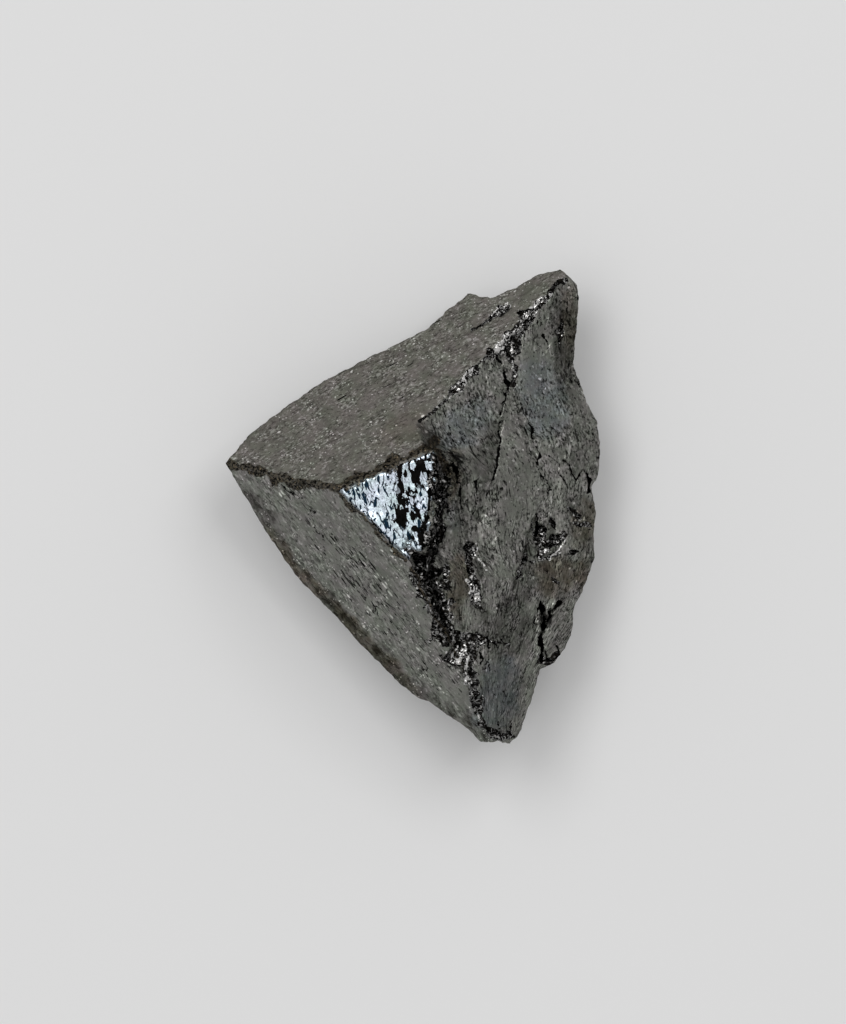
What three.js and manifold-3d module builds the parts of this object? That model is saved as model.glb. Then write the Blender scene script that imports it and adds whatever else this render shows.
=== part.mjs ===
// A uraninite crystal fragment, lying on the flat of its broken underside.
// Two smooth cube faces and a small octahedron face meet at its top; the third side
// is an uneven fracture, and the edge all round and the underside are broken too.
// It grew as one piece, so it is one solid. Millimetres, +Z up, resting on Z = 0.
import * as THREE from 'three';
import { mergeVertices } from 'three/addons/utils/BufferGeometryUtils.js';
import Module from 'manifold-3d';

const wasm = await Module();
wasm.setup();

// ---- driving dimensions ------------------------------------------------------------

// The corner where both cube faces meet the octahedron face. Their planes pass through it.
const CROWN = new THREE.Vector3(-4.3, 0.9, 14.6);

// A face's outward direction: heading is its compass angle from +X, tilt its lean from +Z.
const UPPER_CUBE_FACE = { through: CROWN, heading: 117, tilt: 60.1 };
const LOWER_CUBE_FACE = { through: CROWN, heading: 221.8, tilt: 63.3 };
const OCTAHEDRON_FACE = { through: CROWN, heading: 180, tilt: 10 };

// The fracture on the third side, and the steep scarps down to it from the faces. The
// first scarp starts where the upper cube face ends; the others meet in a bend below.
const FRACTURE_HEAD = new THREE.Vector3(0.2, 4.5, 12.6);
const SCARP_BEND = new THREE.Vector3(-0.2, -3.0, 15.3);
const FRACTURE = { through: FRACTURE_HEAD, heading: -2.4, tilt: 38.9 };
const HEAD_SCARP = { through: FRACTURE_HEAD, heading: 48, tilt: 79 };
const SIDE_SCARPS = [
  { through: SCARP_BEND, heading: -12, tilt: 74 },
  { through: SCARP_BEND, heading: 14, tilt: 74 },
];

// The broken underside: facets that rise outwards from the flat it rests on. Each has its
// heading, the distance of its foot from REST_CENTRE, and its slope from the ground.
const REST_CENTRE = new THREE.Vector3(0.3, -0.6, 0);
const UNDERSIDE_FACETS = [
  { heading: 125, foot: 5.2, slope: 24 },
  { heading: 165, foot: 5.6, slope: 38 },
  { heading: 228, foot: 5.2, slope: 38 },
  { heading: 275, foot: 5.8, slope: 40 },
  { heading: 315, foot: 5.2, slope: 35 },
  { heading: 0, foot: 5.4, slope: 30 },
  { heading: 40, foot: 6.0, slope: 27 },
  { heading: 85, foot: 6.0, slope: 13 },
];

// The broken edge all round, seen from above, anticlockwise from the left tip.
const RIM = [
  [-10.65, 2.4], [-10.05, 1.4], [-8.65, -1.05], [-7.75, -2.35], [-7.3, -3.1], [-6.4, -4.3],
  [-4.6, -6.1], [-2.95, -7.95], [-0.75, -10.15], [0.3, -11.0], [1.0, -11.2], [2.0, -11.9],
  [3.25, -12.8], [3.8, -13.4], [4.3, -13.4], [4.55, -13.2], [5.55, -13.45], [5.95, -13.05],
  [6.5, -11.75], [6.95, -10.25], [7.2, -9.3], [7.95, -9.0], [8.4, -8.5], [9.0, -7.5],
  [9.2, -5.8], [9.7, -4.8], [10.4, -2.8], [10.3, -1.9], [10.45, -0.55], [10.15, 0.9],
  [10.6, 1.9], [10.65, 3.65], [10.5, 4.75], [9.9, 5.9], [9.5, 7.1], [9.15, 7.8],
  [9.3, 10.0], [9.45, 11.8], [9.3, 12.6], [8.75, 13.05], [8.4, 13.45], [7.05, 13.15],
  [5.8, 12.4], [4.4, 11.8], [3.25, 12.15], [2.0, 11.2], [0.7, 10.0], [-0.45, 9.45],
  [-2.8, 8.3], [-4.9, 7.2], [-6.65, 6.05], [-8.2, 4.9], [-9.6, 3.7],
];

// The terrace on the upper cube face: a thin layer missing beyond a short step.
const TERRACE = { start: [1.3, 9.2], end: [5.6, 11.4], depth: 0.35 };

// Chips off the ridges and a hollow in the fracture. Each is centred on a face, at a
// place seen from above, with its size across and the turn of its long side.
const CHIPS = [
  { face: FRACTURE, place: [5.3, 9.2], across: [2.8, 1.5, 1.6], turn: 42 },
  { face: FRACTURE, place: [2.7, 7.1], across: [2.4, 1.0, 1.2], turn: 46 },
  { face: FRACTURE, place: [6.9, 11.0], across: [1.8, 0.8, 1.0], turn: 45 },
  { face: LOWER_CUBE_FACE, place: [2.2, -8.2], across: [1.6, 2.4, 1.6], turn: 20 },
  { face: FRACTURE, place: [7.8, -2.0], across: [2.2, 2.6, 1.8], turn: -25 },
];

// Open cracks in the fracture: both ends seen from above, their width and depth.
const CRACKS = [
  { start: [7.4, -5.6], end: [7.2, -9.0], width: 0.35, depth: 1.2 },
  { start: [5.5, 7.0], end: [4.8, 2.2], width: 0.3, depth: 0.6 },
];

const STONE_HEIGHT = 20; // taller than the crown, so that only the faces end the stone
const CUTTER_SIZE = 80; // larger than the whole specimen

// ---- solids ------------------------------------------------------------------------

// A closed three.js geometry as a solid that can be joined and cut.
function solidOf(geometry) {
  const bare = geometry.clone();
  bare.deleteAttribute('normal');
  bare.deleteAttribute('uv');
  const merged = mergeVertices(bare, 1e-4);
  return new wasm.Manifold(new wasm.Mesh({
    numProp: 3,
    vertProperties: new Float32Array(merged.attributes.position.array),
    triVerts: new Uint32Array(merged.index.array),
  }));
}

// The solid as a three.js geometry with flat facets.
function geometryOf(solid) {
  const mesh = solid.getMesh();
  const geometry = new THREE.BufferGeometry();
  geometry.setAttribute('position', new THREE.BufferAttribute(mesh.vertProperties, 3));
  geometry.setIndex(new THREE.BufferAttribute(mesh.triVerts, 1));
  const facets = geometry.toNonIndexed();
  facets.computeVertexNormals();
  return facets;
}

function unitTowards(heading, tilt) {
  const polar = THREE.MathUtils.degToRad(tilt);
  const around = THREE.MathUtils.degToRad(heading);
  return new THREE.Vector3(
    Math.sin(polar) * Math.cos(around),
    Math.sin(polar) * Math.sin(around),
    Math.cos(polar),
  );
}

// A block that fills the whole space outside a face.
function outsideOf({ through, heading, tilt }) {
  const outward = unitTowards(heading, tilt);
  const block = new THREE.BoxGeometry(CUTTER_SIZE, CUTTER_SIZE, CUTTER_SIZE);
  block.translate(0, 0, CUTTER_SIZE / 2);
  const up = new THREE.Vector3(0, 0, 1);
  block.applyQuaternion(new THREE.Quaternion().setFromUnitVectors(up, outward));
  block.translate(through.x, through.y, through.z);
  return solidOf(block);
}

function cutByFaces(solid, faces) {
  return faces.reduce((rest, face) => rest.subtract(outsideOf(face)), solid);
}

// The height of a face's plane above a point seen from above.
function heightOn({ through, heading, tilt }, x, y) {
  const outward = unitTowards(heading, tilt);
  const run = (x - through.x) * outward.x + (y - through.y) * outward.y;
  return through.z - run / outward.z;
}

// An underside facet as a face that looks outwards and down.
function undersideFace({ heading, foot, slope }) {
  const through = unitTowards(heading, 90).multiplyScalar(foot).add(REST_CENTRE);
  return { through, heading, tilt: 180 - slope };
}

// The upright prism inside the rim, with the broken underside already cut.
function roughStone() {
  const outline = new THREE.Shape(RIM.map(([x, y]) => new THREE.Vector2(x, y)));
  const prism = new THREE.ExtrudeGeometry(outline, { depth: STONE_HEIGHT, bevelEnabled: false });
  return cutByFaces(solidOf(prism), UNDERSIDE_FACETS.map(undersideFace));
}

// The thin layer missing from the upper cube face, as a slab laid along the step.
function terraceLayer() {
  const [x0, y0] = TERRACE.start;
  const [x1, y1] = TERRACE.end;
  const foot = new THREE.Vector3(x0, y0, heightOn(UPPER_CUBE_FACE, x0, y0));
  const head = new THREE.Vector3(x1, y1, heightOn(UPPER_CUBE_FACE, x1, y1));
  const outward = unitTowards(UPPER_CUBE_FACE.heading, UPPER_CUBE_FACE.tilt);
  const along = head.clone().sub(foot);
  const length = along.length();
  along.normalize();
  const beyond = outward.clone().cross(along);
  const slab = new THREE.BoxGeometry(length, STONE_HEIGHT, 2 * TERRACE.depth);
  slab.translate(length / 2, STONE_HEIGHT / 2, 0);
  slab.applyMatrix4(new THREE.Matrix4().makeBasis(along, beyond, outward));
  slab.translate(foot.x, foot.y, foot.z);
  return solidOf(slab);
}

function chipCutter({ face, place, across, turn }) {
  const [x, y] = place;
  const chip = new THREE.DodecahedronGeometry(0.5);
  chip.scale(...across);
  chip.rotateZ(THREE.MathUtils.degToRad(turn));
  chip.translate(x, y, heightOn(face, x, y));
  return solidOf(chip);
}

// A crack is a thin slab along the fracture, sunk to the crack's depth.
function crackCutter({ start, end, width, depth }) {
  const [foot, head] = [start, end].map(([x, y]) => (
    new THREE.Vector3(x, y, heightOn(FRACTURE, x, y))
  ));
  const along = head.clone().sub(foot);
  const slab = new THREE.BoxGeometry(along.length(), width, 2 * depth);
  const level = new THREE.Vector3(1, 0, 0);
  slab.applyQuaternion(new THREE.Quaternion().setFromUnitVectors(level, along.normalize()));
  slab.translate(...foot.add(head).multiplyScalar(0.5));
  return solidOf(slab);
}

// The stone inside its faces: a high part under the crystal faces, which ends at the
// scarps, joined to a low part under the fracture, less its terrace, chips and cracks.
function crystalSolid() {
  const naturalFaces = [UPPER_CUBE_FACE, LOWER_CUBE_FACE, OCTAHEDRON_FACE];
  const stone = cutByFaces(roughStone(), naturalFaces);
  const crown = cutByFaces(stone, [HEAD_SCARP]);
  const highParts = SIDE_SCARPS.map((scarp) => cutByFaces(crown, [scarp]));
  const lowPart = cutByFaces(stone, [FRACTURE]);
  const whole = highParts.reduce((joined, part) => joined.add(part), lowPart);
  const cutters = [terraceLayer(), ...CHIPS.map(chipCutter), ...CRACKS.map(crackCutter)];
  return cutters.reduce((rest, cutter) => rest.subtract(cutter), whole);
}

// ---- the specimen ------------------------------------------------------------------

const uraninite = new THREE.MeshStandardMaterial({
  color: 0x5f5e5a, roughness: 0.5, metalness: 0.6,
});

const crystal = new THREE.Mesh(geometryOf(crystalSolid()), uraninite);
crystal.name = 'crystal';

const specimen = new THREE.Group();
specimen.add(crystal);

export default specimen;
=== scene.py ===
"""A uraninite crystal fragment on a pale studio floor, laid out as a Blender add-on."""
import math
from collections import namedtuple
from itertools import product

import bpy
import numpy as np
from bpy.props import FloatProperty, FloatVectorProperty, PointerProperty
from bpy.types import Operator, Panel, PropertyGroup
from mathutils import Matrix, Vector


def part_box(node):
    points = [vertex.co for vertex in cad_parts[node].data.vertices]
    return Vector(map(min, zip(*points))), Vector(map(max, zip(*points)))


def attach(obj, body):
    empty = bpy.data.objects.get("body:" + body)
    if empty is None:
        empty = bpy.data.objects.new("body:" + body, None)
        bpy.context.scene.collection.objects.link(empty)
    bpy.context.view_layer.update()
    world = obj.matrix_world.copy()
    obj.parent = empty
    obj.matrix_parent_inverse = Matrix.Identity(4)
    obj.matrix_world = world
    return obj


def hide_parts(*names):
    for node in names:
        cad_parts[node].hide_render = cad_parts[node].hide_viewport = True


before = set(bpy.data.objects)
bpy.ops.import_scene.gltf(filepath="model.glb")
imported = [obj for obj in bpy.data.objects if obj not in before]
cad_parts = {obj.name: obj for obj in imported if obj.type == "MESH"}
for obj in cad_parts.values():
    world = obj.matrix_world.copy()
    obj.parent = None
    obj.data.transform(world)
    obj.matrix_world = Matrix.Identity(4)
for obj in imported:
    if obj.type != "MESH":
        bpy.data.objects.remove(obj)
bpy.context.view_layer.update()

bl_info = {
    "name": "Uraninite Specimen",
    "version": (1, 0, 0),
    "blender": (4, 5, 0),
    "location": "View3D > Sidebar > Specimen",
    "description": "Builds a broken uraninite crystal with its faces, fracture and studio stage",
    "category": "Add Mesh",
}

BAKE_MAP = "OFBake"  # the map that a texture bake of the stone goes through

# Places on the stone are written in millimetres of a specimen this long, and scaled to
# the length of the frame's crystal.
DRAWN_LENGTH = 26.9
FRAME_LOW, FRAME_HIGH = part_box("crystal")
UNIT = (FRAME_HIGH.y - FRAME_LOW.y) / DRAWN_LENGTH  # metres for one drawn millimetre

# ---- the faces ---------------------------------------------------------------------

# A face is a point that it passes through, its heading from +X and its lean from +Z.
Face = namedtuple("Face", "x y z heading lean")
CROWN = (-4.3, 0.9, 14.6)
UPPER_FACE = Face(*CROWN, 117, 60.1)
LOWER_FACE = Face(*CROWN, 221.8, 63.3)
BRIGHT_FACE = Face(*CROWN, 180, 10)
FRACTURE = Face(0.2, 4.5, 12.6, -2.4, 38.9)
HEAD_SCARP = Face(0.2, 4.5, 12.6, 48, 79)
SIDE_SCARP = Face(1.1, 0.4, 15.5, -6, 72)
CORNER_SCARP = Face(-0.2, -3.05, 15.3, -42, 74)
FOOT_SCARP = Face(-0.2, -3.0, 15.3, 14, 74)

# The rim in four runs between its corners.
LEFT_TIP, LOWER_TIP, RIGHT_BULGE, UPPER_TIP = (
    (-10.65, 2.4), (5.1, -13.45), (10.65, 3.65), (8.75, 13.05))
RIM_LOWER_LEFT = (
    LEFT_TIP, (-10.05, 1.4), (-8.65, -1.05), (-7.75, -2.35), (-7.3, -3.1), (-6.4, -4.3),
    (-4.6, -6.1), (-2.95, -7.95), (-0.75, -10.15), (0.3, -11.0), (1.0, -11.2),
    (2.0, -11.9), (3.25, -12.8), (3.8, -13.4), (4.3, -13.4), (4.55, -13.2), LOWER_TIP)
RIM_LOWER_RIGHT = (
    LOWER_TIP, (5.55, -13.45), (5.95, -13.05), (6.5, -11.75), (6.95, -10.25),
    (7.2, -9.3), (7.95, -9.0), (8.4, -8.5), (9.0, -7.5), (9.2, -5.8), (9.7, -4.8),
    (10.4, -2.8), (10.3, -1.9), (10.45, -0.55), (10.15, 0.9), (10.6, 1.9), RIGHT_BULGE)
RIM_UPPER_RIGHT = (
    UPPER_TIP, (9.3, 12.6), (9.45, 11.8), (9.3, 10.0), (9.15, 7.8), (9.5, 7.1),
    (9.9, 5.9), (10.5, 4.75), RIGHT_BULGE)
RIM_UPPER_LEFT = (
    LEFT_TIP, (-9.6, 3.7), (-8.2, 4.9), (-6.65, 6.05), (-4.9, 7.2), (-2.8, 8.3),
    (-0.45, 9.45), (0.7, 10.0), (2.0, 11.2), (3.25, 12.15), (4.4, 11.8), (5.8, 12.4),
    (7.05, 13.15), (8.4, 13.45), UPPER_TIP)

# The underside's facets: heading, distance of the foot from the rest centre, slope.
REST_CENTRE = (0.3, -0.6)
Underfacet = namedtuple("Underfacet", "heading foot slope")
UNDERSIDE = (
    Underfacet(125, 5.2, 24), Underfacet(165, 5.6, 38), Underfacet(228, 5.2, 38),
    Underfacet(275, 5.8, 40), Underfacet(315, 5.2, 35), Underfacet(0, 5.4, 30),
    Underfacet(40, 6.0, 27), Underfacet(85, 6.0, 13))

# ---- wear and breaks, in drawn millimetres -----------------------------------------

# The ledge between the splinter and the middle of the fracture.
SPLINTER_LEDGE = ((5.3, -6.1), (5.95, -4.1), (6.1, -3.5), (6.35, -2.8), (6.5, -2.4),
                  (6.5, -1.7), (6.9, -0.8))

# A band follows a path at a half width, with the amount of the mask it is listed under.
Band = namedtuple("Band", "path half amount")
WORN_EDGES = (
    Band(((-10.65, 2.4), (-7.6, 1.5), (-4.3, 0.95)), 0.25, 1.0),
    Band(((-8.6, 1.9), (-7.4, 1.5)), 0.4, 1.0),
    Band(((-4.3, 1.0), (-1.3, 2.3), (0.6, 3.05), (1.2, 3.6)), 0.28, 1.0),
    Band(((-4.35, 0.75), (-2.4, -1.1), (-0.4, -3.1)), 0.1, 0.9),
    Band(((0.9, 3.3), (1.5, 2.9), (1.9, 2.0)), 0.2, 0.8),
    Band(((-0.1, -3.4), (0.6, -4.9), (1.5, -6.6), (2.4, -8.2), (3.1, -9.9)), 0.07, 0.8),
)
# Fresh breaks, painted black as the shade of their hollows and as dark reflections.
BROKEN_BANDS = (
    Band(((0.4, 4.65), (1.4, 5.5), (2.3, 6.4)), 0.08, 0.9),
    Band(((2.2, 6.4), (2.8, 7.1), (3.4, 7.7)), 0.22, 1.0),
    Band(((3.5, 7.9), (4.4, 8.6)), 0.09, 0.9),
    Band(((4.6, 8.6), (5.4, 9.35), (6.3, 10.3)), 0.44, 1.0),
    Band(((6.2, 10.4), (7.2, 11.4), (7.9, 12.2), (8.8, 12.9)), 0.17, 1.0),
    Band(((5.5, 8.4), (5.65, 7.7), (5.55, 6.9)), 0.17, 1.0),
    Band(((1.45, 2.4), (1.6, 0.8), (1.4, -1.0), (1.0, -2.4)), 0.44, 0.95),
    Band(((0.3, -3.0), (0.9, -4.2), (1.4, -5.6), (1.75, -7.0)), 0.72, 1.0),
    Band(((1.9, -3.6), (1.8, -4.6)), 0.3, 0.85),
    Band(((3.1, -2.3), (3.2, -3.3), (3.4, -4.4), (3.7, -5.7)), 0.26, 1.0),
    Band(((1.5, -6.9), (2.3, -7.3), (3.7, -7.6)), 0.3, 1.0),
    Band(((3.35, -7.9), (3.4, -8.8), (3.5, -9.7), (3.55, -10.6), (3.8, -11.4),
          (3.95, -12.1), (4.3, -12.7)), 0.2, 1.0),
    Band(((2.8, -9.1), (3.3, -10.6), (3.55, -11.8)), 0.1, 1.0),
    Band(((4.2, -12.9), (5.0, -13.1), (5.7, -13.0)), 0.26, 1.0),
    Band(((3.9, -7.45), (4.6, -7.7), (5.5, -7.8)), 0.1, 1.0),
    Band(((5.1, -7.6), (5.4, -7.8)), 0.13, 1.0),
    Band(((7.2, -8.7), (7.6, -8.8), (8.1, -8.6)), 0.24, 1.0),
    Band(((3.5, 9.95), (4.5, 10.7)), 0.1, 0.9),
    Band(((4.4, 10.75), (5.4, 11.35)), 0.16, 1.0),
    Band(((6.75, -1.0), (7.0, -1.9), (7.2, -2.9)), 0.12, 1.0),
    Band(((7.2, -2.7), (7.9, -2.3), (8.6, -1.6)), 0.14, 0.9),
    Band(((6.7, -3.2), (7.6, -3.0), (8.4, -2.8)), 0.1, 0.8),
    Band(((8.9, -0.1), (9.5, -0.6)), 0.14, 0.9),
    Band(((9.3, -1.0), (9.9, -1.2)), 0.12, 0.9),
    Band(((6.5, -2.8), (6.2, -3.5), (6.0, -4.1)), 0.12, 1.0),
    Band(((8.0, -4.2), (8.3, -4.45)), 0.1, 1.0),
)

# Cracks: a path with its half width, its depth and how dark it is.
Crack = namedtuple("Crack", "path half depth amount", defaults=(1.0,))
CRACKS = (
    Crack(((4.4, 8.8), (4.75, 8.4), (5.05, 7.7), (5.2, 7.2), (5.5, 6.5)), 0.05, 0.15, 0.85),
    Crack(((5.5, 6.5), (5.3, 6.1), (5.05, 5.6), (4.95, 5.1), (4.95, 4.4)), 0.045, 0.2, 0.9),
    Crack(((4.95, 4.4), (4.97, 3.8), (4.85, 2.9), (4.7, 2.0), (4.5, 1.4)), 0.045, 0.14, 0.85),
    Crack(((4.5, 1.4), (4.25, 0.6), (4.1, 0.0), (3.95, -0.5)), 0.02, 0.05, 0.6),
    Crack(((6.1, 5.8), (6.5, 5.0), (6.9, 4.3), (6.85, 3.5)), 0.04, 0.12, 0.8),
    Crack(((6.85, 3.5), (7.1, 2.9), (7.2, 2.1), (7.6, 1.3), (7.85, 0.8)), 0.03, 0.08, 0.75),
    Crack(((7.8, 2.9), (8.1, 2.5), (8.35, 1.9), (8.75, 1.2), (8.9, 0.8)), 0.03, 0.08, 0.75),
    Crack(((8.5, 2.6), (8.85, 2.3), (9.05, 1.75), (9.35, 1.5), (9.65, 2.1), (9.95, 1.8),
           (10.15, 1.4), (10.05, 0.8)), 0.035, 0.2),
    Crack(((-4.3, 0.9), (-2.3, -1.0), (-0.2, -3.0)), 0.025, 0.03, 0.75),
    Crack(((6.6, 11.0), (7.3, 9.9), (7.9, 8.7)), 0.025, 0.05, 0.7),
    Crack(((5.0, 6.6), (5.4, 6.2), (5.1, 5.9)), 0.035, 0.1, 0.8),
    Crack(((2.4, 3.4), (2.1, 4.3), (1.6, 4.9)), 0.03, 0.06, 0.75),
    Crack(((3.6, 1.5), (3.55, 0.4), (3.3, -0.7)), 0.03, 0.06, 0.75),
    Crack(((6.9, -0.6), (7.2, -1.2), (7.0, -1.6)), 0.05, 0.1, 0.9),
    Crack(((7.0, -0.9), (8.0, -0.1), (8.6, 0.2)), 0.03, 0.06, 0.75),
    Crack(((8.7, 7.6), (9.0, 7.1), (9.4, 6.8)), 0.03, 0.15, 0.6),
    Crack(((7.22, -5.5), (7.27, -6.2), (7.33, -6.7), (7.3, -7.4), (7.25, -8.1), (7.2, -8.9)),
          0.06, 0.8),
    Crack(((7.6, -6.5), (8.05, -5.95), (8.35, -5.5)), 0.075, 0.4),
    Crack(((7.32, -5.8), (7.42, -6.3), (7.4, -6.9)), 0.14, 0.5),
    Crack(((7.5, -6.65), (7.85, -6.15)), 0.13, 0.4),
    Crack(((7.5, -8.2), (7.6, -8.7), (8.0, -8.9)), 0.05, 0.2),
    Crack(((8.1, -8.0), (8.2, -8.6)), 0.04, 0.2),
    Crack(((7.05, -5.8), (6.95, -6.9)), 0.05, 0.2),
    Crack(((-7.3, 1.15), (-6.8, 0.75), (-6.0, -0.4), (-5.3, -1.7), (-5.0, -2.75)),
          0.035, 0.12, 0.75),
    Crack(((4.2, -7.4), (4.25, -8.0)), 0.04, 0.1),
    Crack(((4.75, -7.3), (4.8, -8.1)), 0.03, 0.1),
    Crack(((5.15, -7.4), (5.2, -8.2)), 0.04, 0.1),
    Crack(((3.95, -9.3), (4.4, -8.6)), 0.04, 0.1),
    Crack(((4.3, -8.9), (4.4, -9.4)), 0.04, 0.1),
    Crack(((5.05, -10.5), (5.15, -10.9)), 0.02, 0.1, 0.7),
    Crack(((3.8, -8.3), (3.95, -8.75), (3.85, -9.0)), 0.04, 0.1, 0.9),
    Crack(((4.85, -12.1), (4.9, -12.9)), 0.03, 0.1),
    Crack(((5.6, -12.2), (5.5, -12.9)), 0.03, 0.1),
    Crack(((1.6, 3.0), (2.2, 2.35), (2.65, 1.55), (2.8, -0.3)), 0.04, 0.12, 0.75),
    Crack(((2.2, 2.2), (2.45, 1.7), (2.5, 1.2)), 0.07, 0.2, 0.8),
    Crack(((0.0, 8.9), (-0.9, 8.5)), 0.02, 0.05, 0.6),
)

# A ledge steps the surface down on the right of its path, easing back over its reach.
Ledge = namedtuple("Ledge", "path drop reach")
LEDGES = (
    Ledge(SPLINTER_LEDGE, 0.3, 2.6),
    Ledge(((0.75, 4.2), (1.4, 3.15), (2.2, 2.35), (2.65, 1.55), (2.8, -0.3), (3.2, -2.2),
           (4.0, -4.1)), 0.2, 1.8),
)

# Swells raise the surface along a path, or sink it where they are negative.
Swell = namedtuple("Swell", "path half height")
SWELLS = (
    Swell(((1.9, 1.8), (1.9, -1.5), (2.3, -4.5)), 0.75, 0.9),
    Swell(((4.6, 4.2), (4.2, 2.6), (3.95, 1.4), (3.85, 0.3), (3.85, -0.5)), 0.8, -0.15),
    Swell(((8.2, -5.9), (8.2, -7.0), (7.9, -8.2)), 0.7, 0.35),
    Swell(((9.6, 4.6), (9.9, 2.6)), 1.3, 0.35),
    Swell(((8.9, -3.6), (7.4, -4.4)), 1.0, 0.3),
    Swell(((7.4, 7.6), (6.5, 3.0)), 1.1, 0.15),
    Swell(((5.4, -0.5), (5.3, -4.5)), 0.9, 0.12),
)

# Chips cut the surface down to stepped planes parallel to the bright face: place, half
# sizes along the turn and across it, turn and depth. Shelves also fill low places, by no
# more than the shelf fill.
Chip = namedtuple("Chip", "x y long wide turn depth")
CHIPS = (
    Chip(5.6, 9.0, 1.1, 0.7, 62, 0.25),
    Chip(6.5, 10.5, 1.1, 0.4, 47, 0.15),
    Chip(7.5, 11.7, 0.9, 0.22, 47, 0.1),
    Chip(2.5, 6.65, 0.8, 0.4, 46, 0.15),
    Chip(3.2, 7.45, 0.6, 0.3, 46, 0.15),
    Chip(4.95, 11.1, 0.85, 0.45, 34, 0.1),
    Chip(7.35, -1.7, 0.95, 0.5, -72, 0.3),
    Chip(8.15, -2.0, 0.8, 0.45, 25, 0.25),
    Chip(7.9, -1.0, 0.6, 0.25, -60, 0.2),
    Chip(9.15, -2.7, 0.4, 0.2, 0, 0.2),
    Chip(8.4, 9.95, 0.85, 0.3, 80, 0.2),
    Chip(3.1, -2.35, 0.25, 0.3, 0, 0.3),
    Chip(3.0, -9.9, 0.6, 0.12, -75, 0.05),
    Chip(3.4, -11.2, 0.5, 0.1, -80, 0.05),
)
SHELVES = (
    Chip(2.75, -8.4, 1.3, 1.0, 20, 0.1),
    Chip(3.2, -4.55, 0.3, 0.6, 0, 0.0),
    Chip(3.7, -5.2, 0.4, 0.36, 20, 0.0),
)
SHELF_FILL = 0.12

# The upper face steps down beyond this line.
TERRACE_PATH = ((1.3, 9.2), (2.7, 9.6), (3.2, 9.8), (4.2, 10.5), (5.6, 11.5))
TERRACE_DROP = 0.3

# Stains: place, half sizes along the turn and across it, turn and amount.
Stain = namedtuple("Stain", "x y long wide turn amount")
BROWN_STAINS = (
    Stain(-0.5, 4.2, 2.2, 1.1, 30, 0.3), Stain(8.9, 10.2, 0.7, 3.0, 0, 0.6),
    Stain(2.1, 1.5, 0.8, 1.8, -15, 0.8),
    Stain(8.4, -4.0, 2.0, 1.3, 10, 0.9), Stain(9.8, -1.3, 0.9, 1.8, 0, 0.7),
    Stain(2.5, -4.7, 0.75, 2.2, 0, 0.8), Stain(-2.5, -7.9, 5.5, 0.6, -47, 0.8),
    Stain(-7.6, -2.5, 2.0, 0.6, -55, 0.8), Stain(-6.2, -4.3, 1.6, 0.5, -50, 0.8))
STEEL_STAINS = (
    Stain(4.7, -10.7, 1.6, 2.6, -8, 1.0), Stain(7.4, 6.0, 1.5, 3.0, 12, 1.0),
    Stain(2.9, 4.6, 2.2, 1.3, 30, 0.9), Stain(2.2, -0.6, 0.6, 1.2, 0, 0.4))
# Painted shade: darker patches where the fracture's valleys and hollows lie in shade, partly its
# own darker tone too.
PAINTED_SHADES = (
    Stain(4.2, 2.4, 0.9, 2.4, -8, 0.6), Stain(5.4, -7.0, 1.7, 2.2, 0, 0.7),
    Stain(8.8, 9.6, 1.2, 3.4, 0, 1.0),
    Stain(8.2, -3.8, 2.4, 2.0, 10, 0.85), Stain(9.6, -1.0, 1.2, 2.0, 0, 0.6),
    Stain(9.6, 3.6, 1.4, 3.2, 0, 0.35), Stain(5.0, -10.6, 1.8, 2.8, 0, 0.55),
    Stain(8.9, 6.4, 0.8, 2.4, 10, 0.4), Stain(8.2, -7.0, 0.9, 1.9, -10, 0.3),
    Stain(7.6, -2.1, 1.1, 0.9, 0, 0.8), Stain(1.2, 3.9, 0.9, 0.8, -45, 0.6),
    Stain(2.5, -5.0, 0.7, 1.9, 0, 0.35),
    Stain(2.1, 1.5, 0.7, 1.7, -15, 0.5), Stain(3.6, -4.6, 0.6, 1.6, 0, 0.5),
    Stain(-2.6, -7.9, 5.6, 0.55, -47, 0.5))

# Painted shade: dark lines and strips under the ledges and along grooves.
PAINTED_SHADE_BANDS = (
    Band(SPLINTER_LEDGE, 0.1, 1.0),
    Band(((5.9, -5.6), (6.5, -4.1), (7.0, -2.6), (7.4, -1.2)), 0.45, 0.7),
    Band(((2.8, 1.2), (2.85, -0.3), (3.2, -2.2), (3.9, -4.1)), 0.12, 0.9),
    Band(((4.6, 4.6), (4.35, 2.6), (3.85, 0.6), (3.6, -0.5)), 0.33, 0.8),
    Band(((2.5, -5.9), (2.75, -7.0)), 0.12, 0.8), Band(((1.9, -3.0), (2.0, -4.6)), 0.12, 0.9),
    Band(((4.0, -5.4), (4.2, -7.2)), 0.2, 0.8), Band(((4.9, -4.2), (4.8, -6.4)), 0.1, 0.6),
)

# Painted highlights: white flashes on fresh breaks, where their facets would mirror the light.
FLASHES = (
    Stain(2.6, -8.7, 0.9, 0.75, -30, 1.0),
    Stain(5.1, 9.4, 1.4, 0.5, 45, 0.75), Stain(2.5, 6.7, 0.9, 0.35, 46, 0.9),
    Stain(3.3, 7.6, 0.4, 0.3, 46, 0.9), Stain(7.2, 11.4, 1.6, 0.3, 47, 0.6),
    Stain(4.95, 11.1, 0.9, 0.45, 34, 1.0), Stain(2.2, 9.0, 0.25, 0.2, 30, 0.7),
    Stain(3.1, -10.2, 0.2, 1.2, 15, 0.9))
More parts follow.
